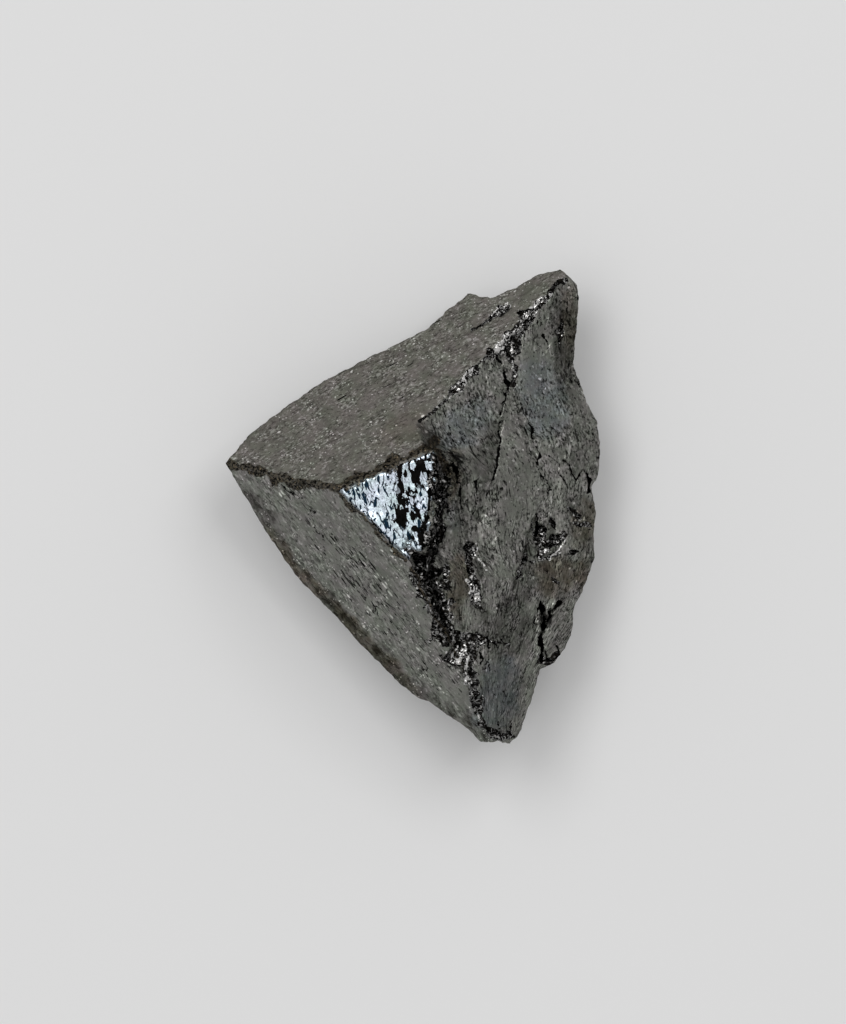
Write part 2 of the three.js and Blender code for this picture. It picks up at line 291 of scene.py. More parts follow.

# Painted glints: white spots and lines; up to 1 only their likeliest blades show, over 1.5 they
# are solid.
GLINTS = (
    Band(((3.1, -4.2), (3.2, -4.8)), 0.17, 1.3), Band(((3.6, -5.1), (3.75, -5.35)), 0.13, 1.3),
    Band(((2.05, -5.45), (2.05, -5.55)), 0.06, 1.3),
    Band(((8.64, -2.0), (8.5, -2.3), (8.2, -2.75), (7.75, -3.1)), 0.028, 2.0),
    Band(((3.35, -2.2), (3.8, -3.1), (4.05, -3.8)), 0.012, 1.8),
    Band(((2.1, -8.45), (2.7, -8.5), (3.0, -8.4)), 0.26, 0.8),
    Band(((3.0, -7.95), (3.05, -8.5), (2.95, -9.2)), 0.13, 1.3),
    Band(((3.02, -8.0), (3.04, -8.4), (2.95, -8.9)), 0.06, 1.8),
    Band(((2.3, -8.4), (2.65, -8.85)), 0.03, 1.8), Band(((2.65, -8.2), (2.8, -8.8)), 0.03, 1.8),
    Band(((2.95, -9.3), (3.15, -10.3), (3.45, -11.3), (3.9, -12.3)), 0.06, 0.8),
    Band(((4.5, 8.75), (5.3, 9.5), (6.3, 10.5)), 0.2, 0.9),
    Band(((6.3, 10.6), (7.3, 11.6), (8.0, 12.25)), 0.09, 0.85),
    Band(((2.0, 6.3), (2.6, 6.85), (3.3, 7.65)), 0.15, 0.85),
    Band(((4.6, 10.95), (5.35, 11.45)), 0.16, 0.85),
    Band(((5.0, 9.0), (5.15, 9.5)), 0.08, 1.3), Band(((5.45, 8.85), (5.6, 9.35)), 0.1, 1.3),
    Band(((5.6, 9.75), (5.95, 10.0)), 0.09, 1.3), Band(((6.3, 10.6), (6.6, 10.85)), 0.08, 1.3),
    Band(((6.8, 11.15), (7.1, 11.4)), 0.06, 1.3), Band(((5.5, 7.75), (5.6, 8.1)), 0.06, 1.3),
    Band(((2.75, 7.1), (3.0, 7.35)), 0.08, 1.3), Band(((2.2, 6.45), (2.4, 6.65)), 0.07, 1.3),
)

# Where the lower face is most pitted, and where the cube faces and the fracture are left
# smooth.
PITTED = (
    Stain(-2.6, -4.6, 4.6, 1.5, -50, 1.0), Stain(-6.6, 0.2, 2.0, 1.0, -50, 0.7),
    Stain(0.8, -8.4, 3.0, 1.2, -50, 0.8))
SMOOTHED = (
    Stain(8.4, -4.0, 2.2, 1.4, 10, 0.2), Stain(4.5, -10.4, 1.1, 2.6, -8, 0.3),
    Stain(2.1, -1.6, 0.8, 1.1, 0, 0.5), Stain(2.5, -5.0, 0.6, 2.2, 0, 0.3),
    Stain(8.2, -0.9, 0.8, 0.6, 0, 0.4),
    Stain(7.2, 8.4, 0.9, 2.2, -20, 0.6), Stain(5.6, 1.5, 1.2, 3.0, 0, 0.5),
    Stain(0.0, 4.4, 1.4, 0.9, 25, 1.0), Stain(-0.6, -4.9, 3.6, 0.5, -52, 0.9),
    Stain(6.2, 11.9, 2.2, 0.6, 40, 0.7), Stain(2.6, -10.6, 2.0, 0.5, -55, 0.8),
    Stain(-7.4, 3.7, 1.4, 0.7, 35, 0.5))

# Where the bright face has lost its skin.
DULL_PATCHES = (
    Stain(-0.65, 0.4, 0.45, 1.15, 10, 1.1), Stain(-0.45, -0.4, 0.8, 1.15, 5, 1.1),
    Stain(-0.5, -0.3, 1.2, 1.8, 5, 0.64), Stain(0.5, -1.7, 0.35, 1.0, 12, 1.1),
    Stain(0.25, 1.75, 1.6, 1.4, 25, 0.8), Stain(1.1, 1.6, 0.4, 1.5, 0, 0.95),
    Stain(-0.3, -2.0, 0.8, 0.9, 0, 0.3))
DULL_LINES = (
    Band(((-0.8, 2.5), (-0.75, 1.4), (0.0, 0.15), (0.45, -0.8), (0.7, -1.3)), 0.1, 1.0),
    Band(((1.2, 2.7), (0.9, 0.6), (0.95, -0.3), (0.65, -1.1), (0.7, -1.9)), 0.17, 1.0),
)

# The rough crust along the lower left rim.
CRUSTED = (
    Band(((-9.3, 0.6), (-7.4, -2.4), (-6.2, -4.1), (-4.4, -5.9), (-2.7, -7.8), (-0.6, -9.9),
          (0.9, -11.0), (2.6, -12.2), (4.2, -13.1)), 0.42, 1.0),)

# The fibres of the fracture run down between two lines, each given as places (y, x) from
# the lower end.
FLOW_LEFT = ((-13.4, 4.4), (-12.6, 4.0), (-9.5, 3.7), (-7.0, 3.8), (-4.1, 4.0), (-2.4, 3.1),
             (-0.3, 2.8), (1.6, 2.65), (2.4, 2.2), (3.15, 1.4), (4.6, 0.4), (13.4, -1.5))
FLOW_RIGHT = ((-13.4, 5.6), (-9.3, 7.2), (-5.8, 9.2), (-2.8, 10.4), (3.65, 10.65),
              (7.8, 9.3), (12.0, 9.6), (13.05, 9.2))
FLOW_WIDTH = 8.0

# ---- fine relief, in drawn millimetres ---------------------------------------------

# A layer of relief: its height, its fineness in cells to a millimetre (every way, or for
# each way), its octaves (none for flat facets) and its seed.
Layer = namedtuple("Layer", "height fineness octaves seed")
FIBRE_ROUGH = (Layer(0.24, (0.42, 0.13), 2, 21), Layer(0.07, (1.3, 0.35), 2, 24),
               Layer(0.015, (4.0, 1.0), 2, 28), Layer(0.1, (1.1, 0.5), 0, 31))
LEDGE_ROUGH = (Layer(0.12, 1.6, 4, 35),)
SCARP_ROUGH = (Layer(0.45, 1.3, 4, 41), Layer(0.5, 1.9, 0, 45))
TERRACE_ROUGH = (Layer(0.05, 3, 3, 51),)
UPPER_ROUGH = (Layer(0.03, (0.5, 0.8), 4, 54),)
LOWER_ROUGH = (Layer(0.04, (0.8, 0.5), 4, 58),)
BRIGHT_ROUGH = (Layer(0.02, 0.9, 3, 62),)
ROUNDING_ROUGH = (Layer(0.5, 2.1, 3, 66),)
CHIP_STEPS = (Layer(0.14, (2.4, 1.8), 0, 75),)
BROKEN_ROUGH = (Layer(0.2, 3.1, 0, 81), Layer(0.08, 7, 0, 85))
WORN_ROUGH = (Layer(0.05, 5.0, 3, 88),)
WALL_LUMPS = (Layer(1.0, 0.8, 0, 101), Layer(0.4, 2, 3, 111))
FOOT_ROUGH = (Layer(0.12, 0.7, 3, 115),)
UNDER_LUMPS = (Layer(0.35, 0.7, 0, 121), Layer(0.2, 0.9, 3, 131))

# How far random bends carry the edges of breaks and stains, of the bright face's black
# patches and of cracks.
EDGE_BEND, PATCH_BEND, CRACK_BEND = 0.13, 0.3, 0.05

# How widely edges and creases are rounded: between the cube faces, between them and the
# core, round the bright face, and where the scarps meet the fracture.
CUBE_ROUNDING, CORE_ROUNDING, CROWN_ROUNDING, FRACTURE_ROUNDING = 0.6, 0.25, 0.2, 0.35

# Half the width over which a ledge or the terrace steps down.
STEP_HALF = 0.06

# ---- the mesh ----------------------------------------------------------------------

# Cells of the top along its two ways, rings down the wall and under the stone, how far
# the wall draws in, and how many moving averages ease the rim.
TOP_CELLS = (240, 280)
WALL_RINGS, UNDER_RINGS = 9, 18
WALL_INSET = 0.4
RIM_EASINGS = 3

# The bake map: how high the top's part reaches, where the strip of the rings starts and
# how high it is, and the edge left free all round.
MAP_TOP, MAP_SKIRT, MAP_RINGS, MAP_EDGE = 0.8, 0.82, 0.17, 0.005

ZONES = ("upper face", "lower face", "bright face", "fracture", "underside")
UPPER, LOWER, BRIGHT, BROKEN, UNDER = range(len(ZONES))

# ---- patterns and fixed colours of the finishes -------------------------------------

# Patterns on the top change with depth at this share of their fineness, so that they hold
# together down steep faces.
DEPTH_SHARE = 0.5

# Headings that white blades, the bright face's threads and the underside's fibres follow,
# in degrees.
BLADE_HEADING, THREAD_HEADING, UNDER_HEADING = 78, 102, 25.0

# The heading of each cube face's grain with its share of dashes, and how dark full
# pitting makes the speckles.
UPPER_GRAIN, LOWER_GRAIN = (32, 0.1), (-55, 0.9)
DARKEST_SPECKLE = 0.7

CRACK_BLACK = (0.003, 0.003, 0.003, 1.0)
# What the painted shade lets through.
PAINTED_SHADE_TINT = (0.3, 0.3, 0.29, 1.0)
GREEN_CAST = (0.95, 1.0, 0.93, 1.0)
RED_CAST = (1.06, 1.02, 1.04, 1.0)

# ---- the stage ---------------------------------------------------------------------

# The key lights' names and headings, their height in degrees and their distance in
# metres, the mirror light's distance, and the side of them all.
KEY_LIGHTS = (("left key light", 130), ("right key light", 50))
KEY_HEIGHT = 62
KEY_DISTANCE, MIRROR_DISTANCE, SOFTBOX_SIDE = 0.8, 0.7, 0.35

# What the camera centres on, in drawn millimetres.
VIEW_CENTRE = (0.57, -0.37)
MIDDLE_LEVEL = 7.0


# ---- random surfaces ---------------------------------------------------------------

def lattice(places, seed):
    """One fixed random number from 0 to 1 for each row of whole numbers: the numbers
    and the seed are mixed by multiplying with large odd numbers and shifting."""
    mixed = np.full(len(places), seed * 747796405 + 12345, np.int64) & 0xFFFFFFFF
    for column, factor in zip(places.T, (374761393, 668265263, 1274126177)):
        mixed = (mixed + (column.astype(np.int64) & 0xFFFFFF) * factor) & 0xFFFFFFFF
        mixed = ((mixed ^ (mixed >> 15)) * 1103515245) & 0xFFFFFFFF
    mixed = ((mixed ^ (mixed >> 13)) * 1540483477) & 0xFFFFFFFF
    return ((mixed ^ (mixed >> 16)) & 0xFFFFFF) / 0xFFFFFF


def noise(points, seed):
    """Smooth random values from -1 to 1: the random numbers at the corners of each
    point's unit cell, blended by a quintic step of its place in the cell."""
    base = np.floor(points).astype(np.int64)
    step = points - base
    step = step ** 3 * (step * (step * 6 - 15) + 10)
    total = np.zeros(len(points))
    for corner in product((0, 1), repeat=points.shape[1]):
        weight = np.prod(np.where(corner, step, 1 - step), axis=1)
        total += weight * lattice(base + np.array(corner), seed)
    return 2 * total - 1


def fractal(points, octaves, seed):
    """Noise summed over octaves, each twice as fine and half as strong as the last."""
    total = np.zeros(len(points))
    for octave in range(octaves):
        total += noise(points * 2 ** octave + 17.3 * octave, seed + octave) / 2 ** octave
    return total


def facets(points, seed):
    """Flat facets that tilt at random: each point belongs to the nearest of one random
    site per unit cell, and its value is its offset from the site along the site's tilt,
    from a level that is random too."""
    base = np.floor(points).astype(np.int64)
    ways = points.shape[1]
    nearest = np.full(len(points), np.inf)
    value = np.zeros(len(points))
    for step in product((-1, 0, 1), repeat=ways):
        cell = base + np.array(step)
        site = np.stack([lattice(cell, seed + way) for way in range(ways)], 1)
        tilt = np.stack([lattice(cell, seed + 7 + way) for way in range(ways)], 1)
        offset = points - cell - site
        distance = (offset ** 2).sum(1)
        closer = distance < nearest
        height = (offset * (2 * tilt - 1)).sum(1) + 0.5 * (tilt[:, 0] - 0.5)
        value = np.where(closer, height, value)
        nearest = np.where(closer, distance, nearest)
    return value


def rough(points, layers):
    """The sum of the layers: each one's height times the fractal of the points times its
    fineness, or times their facets where it has no octaves."""
    total = 0.0
    for layer in layers:
        fine = points * layer.fineness
        pattern = fractal(fine, layer.octaves, layer.seed) if layer.octaves else facets(
            fine, layer.seed)
        total = total + layer.height * pattern
    return total


def smooth_step(low, high, value):
    """0 below low, 1 above high, and a cubic step between them."""
    share = np.clip((value - low) / (high - low), 0, 1)
    return share * share * (3 - 2 * share)


def rounded_min(one, other, width):
    """The lower of two heights, with the edge between them rounded off: less a quarter of
    the width times the square of how near they are, which is one less their difference
    over the width, and 0 where they differ by more."""
    near = np.clip(1 - np.abs(one - other) / width, 0, 1)
    return np.minimum(one, other) - near * near * width / 4


def rounded_max(one, other, width):
    """The higher of two heights, with the crease between them filled the same way."""
    return -rounded_min(-one, -other, width)


def along_path(points, path):
    """For each point, its distance from the line through the path's places and its
    distance to the right of it (negative on the left)."""
    best = np.full(len(points), np.inf)
    signed = np.zeros(len(points))
    for start, end in zip(np.array(path[:-1]), np.array(path[1:])):
        length = np.hypot(*(end - start))
        way = (end - start) / length
        offset = points - start
        run = offset @ way
        side = offset @ np.array((way[1], -way[0]))
        distance = np.hypot(side, np.maximum(run - length, -run).clip(0))
        closer = distance < best
        best = np.where(closer, distance, best)
        signed = np.where(closer, np.where(side < 0, -distance, distance), signed)
    return best, signed


def turned(points, spot):
    """The points' offsets from a spot's centre along its turn and across it, each over its
    half size that way."""
    turn = math.radians(spot.turn)
    x, y = points[:, 0] - spot.x, points[:, 1] - spot.y
    return ((x * math.cos(turn) + y * math.sin(turn)) / spot.long,
            (y * math.cos(turn) - x * math.sin(turn)) / spot.wide)


# ---- the stone's surface -----------------------------------------------------------

def face_height(face, points):
    """The height of a face's plane: its point's height, less the run along its heading
    times the tangent of its lean."""
    heading = math.radians(face.heading)
    run = ((points[:, 0] - face.x) * math.cos(heading)
           + (points[:, 1] - face.y) * math.sin(heading))
    return face.z - run * math.tan(math.radians(face.lean))


def flow_place(points):
    """The fibres' own coordinates: across is the share of the way between the two flow
    lines at this y times the flow's width, and along is y. Also how wide the flow is
    there, as a share of its width."""
    left = np.interp(points[:, 1], *zip(*FLOW_LEFT))
    right = np.interp(points[:, 1], *zip(*FLOW_RIGHT))
    across = (points[:, 0] - left) / (right - left) * FLOW_WIDTH
    return np.stack([across, points[:, 1]], 1), (right - left) / FLOW_WIDTH


def band_mask(points, bands, seed):
    """The strongest of the bands at each point: its distance from the path over the half
    width, which wanders by a fractal, through a falling smooth step, times the amount."""
    wander = np.clip(1 + 0.6 * fractal(points * 2.2, 4, seed), 0.15, None)
    mask = np.zeros(len(points))
    for band in bands:
        distance, _ = along_path(points, band.path)
        inside = smooth_step(1.35, 0.65, distance / (band.half * wander))
        mask = np.maximum(mask, inside * band.amount)
    return mask


def stain_mask(points, stains, seed):
    """The strongest of the stains at each point. A stain is 1 at its centre and falls to
    0 at its oval's edge, by one less the squares of the turned offsets, through a smooth
    step with its edge broken by a fractal."""
    wander = 0.35 * fractal(points * 0.9, 4, seed)
    mask = np.zeros(len(points))
    for stain in stains:
        ahead, aside = turned(points, stain)
        oval = np.clip(1 - ahead ** 2 - aside ** 2, 0, None)
        mask = np.maximum(mask, smooth_step(0, 0.8, oval + wander * (oval > 0)) * stain.amount)
    return mask


def fracture_relief(points, relief):
    """The broken side's relief: long waves, fibres and facets along the flow, lower where
    it is narrow, ledges that step down on the right of their paths, and swells as high as
    the bell curve of the distance over their half width."""
    flow, share = flow_place(points)
    height = rough(flow, FIBRE_ROUGH) * np.clip(share, 0.15, 1) ** 1.5
    wander = rough(points, LEDGE_ROUGH)
    for ledge in LEDGES:
        distance, right = along_path(points, ledge.path)
        ease = np.clip(1 - distance / ledge.reach, 0, 1) ** 1.5
        height -= ledge.drop * ease * smooth_step(-STEP_HALF, STEP_HALF, right + wander)
    for swell in SWELLS:
        distance, _ = along_path(points, swell.path)
        height += swell.height * np.exp(-(distance / swell.half) ** 2)
    return relief * height


def chip_away(points, bent, height, broken):
    """The height and the broken mask after the chips and shelves: inside each diamond the
    height goes over to a plane that slopes as the bright face does, in small steps, at the
    chip's depth below the height at its middle, and that rises steeply at its sides."""
    steps = rough(points, CHIP_STEPS)
    slope = math.tan(math.radians(BRIGHT_FACE.lean))
    for chip in CHIPS + SHELVES:
        ahead, aside = turned(bent, chip)
        shard = np.clip(1 - np.abs(ahead) - np.abs(aside), 0, None)
        middle = np.argmin(np.hypot(*(points - (chip.x, chip.y)).T))
        level = height[middle] - chip.depth
        level += (points[:, 0] - chip.x) * slope + steps
        highest_level = height + (SHELF_FILL if chip in SHELVES else 0.0)
        level = np.minimum(highest_level, level + 1.2 * smooth_step(0.35, 0, shard))
        height = height + (level - height) * smooth_step(0, 0.2, shard)
        broken = np.maximum(broken, smooth_step(0, 0.25, shard))
    return height, broken


def stone_top(points, relief):
    """The top's height over each place, its zone and its masks. The height is the lowest
    of the two cube faces and the core. The core is the lower of the bright face and the
    broken side, which is the higher of its scarps and the fracture. A scarp on the side
    is the lower of two, but not under the one at its foot. Relief, chips and cracks
    follow."""
    upper, lower, bright = (face_height(face, points)
                            for face in (UPPER_FACE, LOWER_FACE, BRIGHT_FACE))
    ragged = rough(points, SCARP_ROUGH)
    bend = np.stack([fractal(points * 1.7, 4, seed) for seed in (141, 151)], 1)
    bent = points + EDGE_BEND * bend
    head, side, corner, foot = (face_height(scarp, bent) + ragged for scarp in
                                (HEAD_SCARP, SIDE_SCARP, CORNER_SCARP, FOOT_SCARP))
    side = np.maximum(np.minimum(side, corner), foot)
    fracture = face_height(FRACTURE, points) + fracture_relief(points, relief)

    _, before = along_path(points, TERRACE_PATH)
    before = before + rough(points, TERRACE_ROUGH)
    upper -= TERRACE_DROP * smooth_step(STEP_HALF, -STEP_HALF, before)
    upper += relief * rough(points, UPPER_ROUGH)
    lower += relief * rough(points, LOWER_ROUGH)
    bright += relief * rough(points, BRIGHT_ROUGH)

    scarp = np.minimum(head, side)
    core = rounded_min(bright, rounded_max(scarp, fracture, FRACTURE_ROUNDING), CROWN_ROUNDING)
    wear = np.clip(1 + rough(points, ROUNDING_ROUGH), 0.2, 2)
    faces = rounded_min(upper, lower, CUBE_ROUNDING * wear)
    height = rounded_min(faces, core, CORE_ROUNDING * wear)

    zone = np.where(upper < lower, UPPER, LOWER)
    on_core = core < np.minimum(upper, lower)
    is_bright = bright < np.maximum(scarp, fracture)
    zone = np.where(on_core, np.where(is_bright, BRIGHT, BROKEN), zone)

    height, broken = chip_away(points, bent, height, band_mask(bent, BROKEN_BANDS, 71))
    height += relief * broken * (rough(points, BROKEN_ROUGH) - 0.06)
    worn = band_mask(bent, WORN_EDGES, 77)
    height += relief * worn * rough(points, WORN_ROUGH)

    vein = np.zeros(len(points))
    swing = np.clip(1 + 0.9 * fractal(points * 1.4, 3, 161), 0.3, None)
    jagged = bent + CRACK_BEND * np.stack([facets(points * 4, seed) for seed in (171, 181)],
                                          1)
    for crack in CRACKS:
        distance, _ = along_path(jagged, crack.path)
        height -= crack.depth * smooth_step(1.4, 0.4, distance / crack.half)
        darkness = crack.amount * smooth_step(2.2, 0.6, distance / crack.half / swing)
        vein = np.maximum(vein, darkness)
    masks = {
        "broken": broken,
        "worn": worn,
        "vein": vein,
        "brown": stain_mask(bent, BROWN_STAINS, 95),
        "steel": stain_mask(bent, STEEL_STAINS, 97),
        # The shade mask is painted shade.
        "shade": np.maximum(stain_mask(bent, PAINTED_SHADES, 99), band_mask(bent, PAINTED_SHADE_BANDS, 101)),
        # The flash and glint masks are painted highlights and painted glints.
        "flash": stain_mask(bent, FLASHES, 103),
        "glint": band_mask(bent, GLINTS, 105),
        "pitted": stain_mask(points, PITTED, 107),
        "smoothed": stain_mask(points, SMOOTHED, 109),
        "dull": np.maximum(stain_mask(points + PATCH_BEND * bend, DULL_PATCHES, 113),
                           band_mask(points, DULL_LINES, 117)),
        "crust": band_mask(points, CRUSTED, 119),
    }
    return height, zone, masks


def under_height(points):
    """The underside: the highest of its slanted facets over each place, each rising with
    its slope beyond its foot, and 0 on the flat inside them all."""
    height = np.zeros(len(points))
    for facet in UNDERSIDE:
        heading = math.radians(facet.heading)
        out = ((points[:, 0] - REST_CENTRE[0]) * math.cos(heading)
               + (points[:, 1] - REST_CENTRE[1]) * math.sin(heading))
        height = np.maximum(height, (out - facet.foot) * math.tan(math.radians(facet.slope)))
    return height


def rim_run(places, count, wear, seed):
    """count + 1 places at equal steps along a run of the rim, eased by moving averages
    that keep both ends, with dents of fractal noise across the run that fade there."""
    places = np.array(places, float)
    run = np.r_[0, np.cumsum(np.hypot(*np.diff(places, axis=0).T))]
    share = np.linspace(0, 1, count + 1)
    line = np.stack([np.interp(share * run[-1], run, column) for column in places.T], 1)
    for _ in range(RIM_EASINGS):
        line[1:-1] = (line[:-2] + 2 * line[1:-1] + line[2:]) / 4
    tangent = np.gradient(line, axis=0)
    tangent /= np.linalg.norm(tangent, axis=1)[:, None]
    across = np.stack([tangent[:, 1], -tangent[:, 0]], 1)
    fade = smooth_step(0, 0.03, np.minimum(share, 1 - share))
    dents = wear * fractal(line * 2.6, 4, seed) * fade
    return line + across * dents[:, None]


def top_places(wear):
    """The grid of the top seen from above, between the four runs of the rim: the sum of
    the straight blends of opposite runs, less the blend of the four corners."""
    cells_s, cells_t = TOP_CELLS
    near, far, left, right = (
        rim_run(run, count, wear, seed) for run, count, seed in (
            (RIM_LOWER_LEFT, cells_s, 11), (RIM_UPPER_RIGHT, cells_s, 12),
            (RIM_UPPER_LEFT, cells_t, 13), (RIM_LOWER_RIGHT, cells_t, 14)))
    s = np.linspace(0, 1, cells_s + 1)[:, None, None]
    t = np.linspace(0, 1, cells_t + 1)[None, :, None]
    ruled = (1 - t) * near[:, None] + t * far[:, None]
    crossed = (1 - s) * left[None] + s * right[None]
    corners = ((1 - s) * (1 - t) * near[0] + s * (1 - t) * near[-1]
               + (1 - s) * t * far[0] + s * t * far[-1])
    return ruled + crossed - corners


def rim_loop(grid):
    """The values round the edge of a grid, anticlockwise seen from above, once round."""
    return np.concatenate([grid[:-1, 0], grid[-1, :-1], grid[:0:-1, -1], grid[0, :0:-1]])


def wall_and_under(start, top, relief):
    """The rings of points below the rim. They go down a wall that draws in by the square
    of the share of the way down and bulges by a sine of it, then straight under the stone
    towards the rest centre at the underside's height, with lumps, to one last point."""
    centre = np.array(REST_CENTRE)
    inward = centre - start
    inward /= np.linalg.norm(inward, axis=1)[:, None]
    rings = []
    for ring in range(1, WALL_RINGS + 1):
        share = ring / WALL_RINGS
        down = top + (under_height(start) - top) * share
        lumps = rough(np.c_[start, down], WALL_LUMPS)
        bulge = relief * (0.25 + 0.4 * lumps) * math.sin(math.pi * share)
        inset = WALL_INSET * share ** 2 + bulge + relief * share * rough(start, FOOT_ROUGH)
        moved = start + inward * np.clip(inset, -0.05, None)[:, None]
        if ring == WALL_RINGS:
            foot, down = moved, under_height(moved)
        rings.append(np.c_[moved, down])
    for ring in range(1, UNDER_RINGS):
        share = ring / UNDER_RINGS
        moved = foot + (centre - foot) * ring / UNDER_RINGS
        level = under_height(moved)
        lumps = rough(moved, UNDER_LUMPS) * smooth_step(0, 0.25, share)
        height = np.clip(level + relief * lumps * smooth_step(0, 0.7, level), 0, None)
        rings.append(np.c_[moved, height])
    return rings + [np.array([[*REST_CENTRE, 0.0]])]


def corner_map(*corners):
    """The bake map's places at the corners of faces, each given as its two coordinates."""
    return np.stack([np.stack(np.broadcast_arrays(*corner), 1) for corner in corners], 1)


def stone_mesh(wear, relief):
    """The whole stone's points, faces, bake map, zones, masks and flow. The top is a grid
    at the height of stone_top. The rings of the wall and the underside follow from its
    rim, and a fan of triangles closes them. The bake map has the top in its lower part,
    the rings in a strip above it and the fan in their last row."""
    grid = top_places(wear)
    cells_s, cells_t = TOP_CELLS
    places = grid.reshape(-1, 2)
    height, zone, masks = stone_top(places, relief)
    rim = rim_loop(np.arange(len(places)).reshape(grid.shape[:2]))
    count = len(rim)
    below = wall_and_under(places[rim], height[rim], relief)
    points = np.concatenate([np.c_[places, height], *below])

    s, t = np.indices(TOP_CELLS).reshape(2, -1)
    corners = ((s, t), (s + 1, t), (s + 1, t + 1), (s, t + 1))
    quads = np.stack([i * (cells_t + 1) + j for i, j in corners], 1)
    quads_map = corner_map(*((i / cells_s, MAP_TOP * j / cells_t) for i, j in corners))
    rings = WALL_RINGS + UNDER_RINGS - 1
    ring_points = np.concatenate([rim, len(places) + np.arange(rings * count)]).reshape(-1, count)
    i, j = np.indices((rings, count)).reshape(2, -1)
    corners = ((i, j), (i + 1, j), (i + 1, j + 1), (i, j + 1))
    skirt = np.stack([ring_points[a, b % count] for a, b in corners], 1)
    skirt_map = corner_map(*((b / count, MAP_SKIRT + MAP_RINGS * a / (rings + 1))
                             for a, b in corners))
    j = np.arange(count)
    last = np.full(count, len(points) - 1)
    fan = np.stack([ring_points[-1, j], last, ring_points[-1, (j + 1) % count]], 1)
    level = MAP_SKIRT + MAP_RINGS * rings / (rings + 1)
    fan_map = corner_map((j / count, level), ((j + 0.5) / count, MAP_SKIRT + MAP_RINGS),
                         ((j + 1) / count, level))

    sides = np.concatenate([np.full(len(quads) + len(skirt), 4), np.full(count, 3)])
    loops = np.concatenate([quads.ravel(), skirt.ravel(), fan.ravel()])
    bake_map = np.concatenate([part.reshape(-1, 2) for part in (quads_map, skirt_map, fan_map)])
    zones = np.concatenate([zone[quads[:, 0]], np.full(len(skirt) + count, UNDER)])
    extra = len(points) - len(places)
    masks = {name: np.r_[mask, np.zeros(extra)] for name, mask in masks.items()}
    flow = np.c_[flow_place(points[:, :2])[0], points[:, 2] * DEPTH_SHARE]
    return points, loops, sides, bake_map * (1 - 2 * MAP_EDGE) + MAP_EDGE, zones, masks, flow


def build_stone(name, shape, materials):
    """Makes the stone's object from its arrays, with one material for each zone."""
    points, loops, sides, bake_map, zones, masks, flow = stone_mesh(shape.rim_wear, shape.relief)
    mesh = bpy.data.meshes.new(name)
    mesh.vertices.add(len(points))
    mesh.vertices.foreach_set("co", (points * UNIT).astype(np.float32).ravel())
    mesh.loops.add(len(loops))
    mesh.loops.foreach_set("vertex_index", loops.astype(np.int32))
    mesh.polygons.add(len(sides))
    mesh.polygons.foreach_set("loop_start", np.r_[0, np.cumsum(sides)[:-1]].astype(np.int32))
    mesh.polygons.foreach_set("material_index", zones.astype(np.int32))
    mesh.update(calc_edges=True)
    mesh.shade_smooth()
    layer = mesh.uv_layers.new(name=BAKE_MAP)
    layer.uv.foreach_set("vector", bake_map.astype(np.float32).ravel())
    for mask, values in masks.items():
        attribute = mesh.attributes.new(mask, "FLOAT", "POINT")
        attribute.data.foreach_set("value", values.astype(np.float32))
    attribute = mesh.attributes.new("flow", "FLOAT_VECTOR", "POINT")
    attribute.data.foreach_set("vector", flow.astype(np.float32).ravel())
    if mesh.validate():
        raise RuntimeError("the stone's mesh has faces that Blender had to mend")
    for material in materials:
        mesh.materials.append(material)
    stone = bpy.data.objects.new(name, mesh)
    bpy.context.scene.collection.objects.link(stone)
    return stone


# ---- shader nodes ------------------------------------------------------------------

SOCKETS = {"vector": "NodeSocketVector", "number": "NodeSocketFloat",
           "colour": "NodeSocketColor"}


def put(tree, kind, inputs=None, **settings):
    """Adds a node with its settings. Each input is linked where it is given a socket, and
    set to its value otherwise."""
    node = tree.nodes.new(kind)
    for name, value in settings.items():
        setattr(node, name, value)
    for name, value in (inputs or {}).items():
        if isinstance(value, bpy.types.NodeSocket):
            tree.links.new(value, node.inputs[name])
        else:
            node.inputs[name].default_value = value
    return node


def math_node(operation):
    """A function that adds a Math node with the operation and gives its result."""
    def add(tree, *values, clamp=False):
        return put(tree, "ShaderNodeMath", dict(enumerate(values)), operation=operation,
                   use_clamp=clamp).outputs[0]
    return add


plus, minus, times, divide, times_plus, highest, absolute, is_over, is_under = map(
    math_node, ("ADD", "SUBTRACT", "MULTIPLY", "DIVIDE", "MULTIPLY_ADD", "MAXIMUM", "ABSOLUTE",
                "GREATER_THAN", "LESS_THAN"))


def vector_math(tree, operation, *values):
    """A Vector Math node's result on the values."""
    return put(tree, "ShaderNodeVectorMath", dict(enumerate(values)),
               operation=operation).outputs[0]


def mottle(tree, place, scale, detail, roughness=0.5, distortion=0.0):
    """A Noise Texture's outputs."""
    return put(tree, "ShaderNodeTexNoise",
               {"Vector": place, "Scale": scale, "Detail": detail, "Roughness": roughness,
                "Distortion": distortion}).outputs


def cells(tree, place):
    """A Voronoi Texture's outputs, with one cell to each unit of the place."""
    return put(tree, "ShaderNodeTexVoronoi", {"Vector": place, "Scale": 1.0}).outputs


def three_chances(tree, colour):
    """The three numbers from 0 to 1 that a cell's random colour holds."""
    return put(tree, "ShaderNodeSeparateColor", {"Color": colour}).outputs


def blend(tree, share, first, second, kind="MIX"):
    """The colour that is first where the share is 0 and second where it is 1."""
    return put(tree, "ShaderNodeMix", {0: share, 6: first, 7: second},
               data_type="RGBA", blend_type=kind).outputs[2]


def between(tree, share, first, second):
    """The number that is first where the share is 0 and second where it is 1."""
    return put(tree, "ShaderNodeMix", {0: share, 2: first, 3: second},
               data_type="FLOAT").outputs[0]


def ramp(tree, value, low, high, start=0.0, end=1.0):
    """The value carried from the span low to high onto the span start to end, clamped."""
    return put(tree, "ShaderNodeMapRange", {"Value": value, "From Min": low, "From Max": high,
                                            "To Min": start, "To Max": end}).outputs[0]


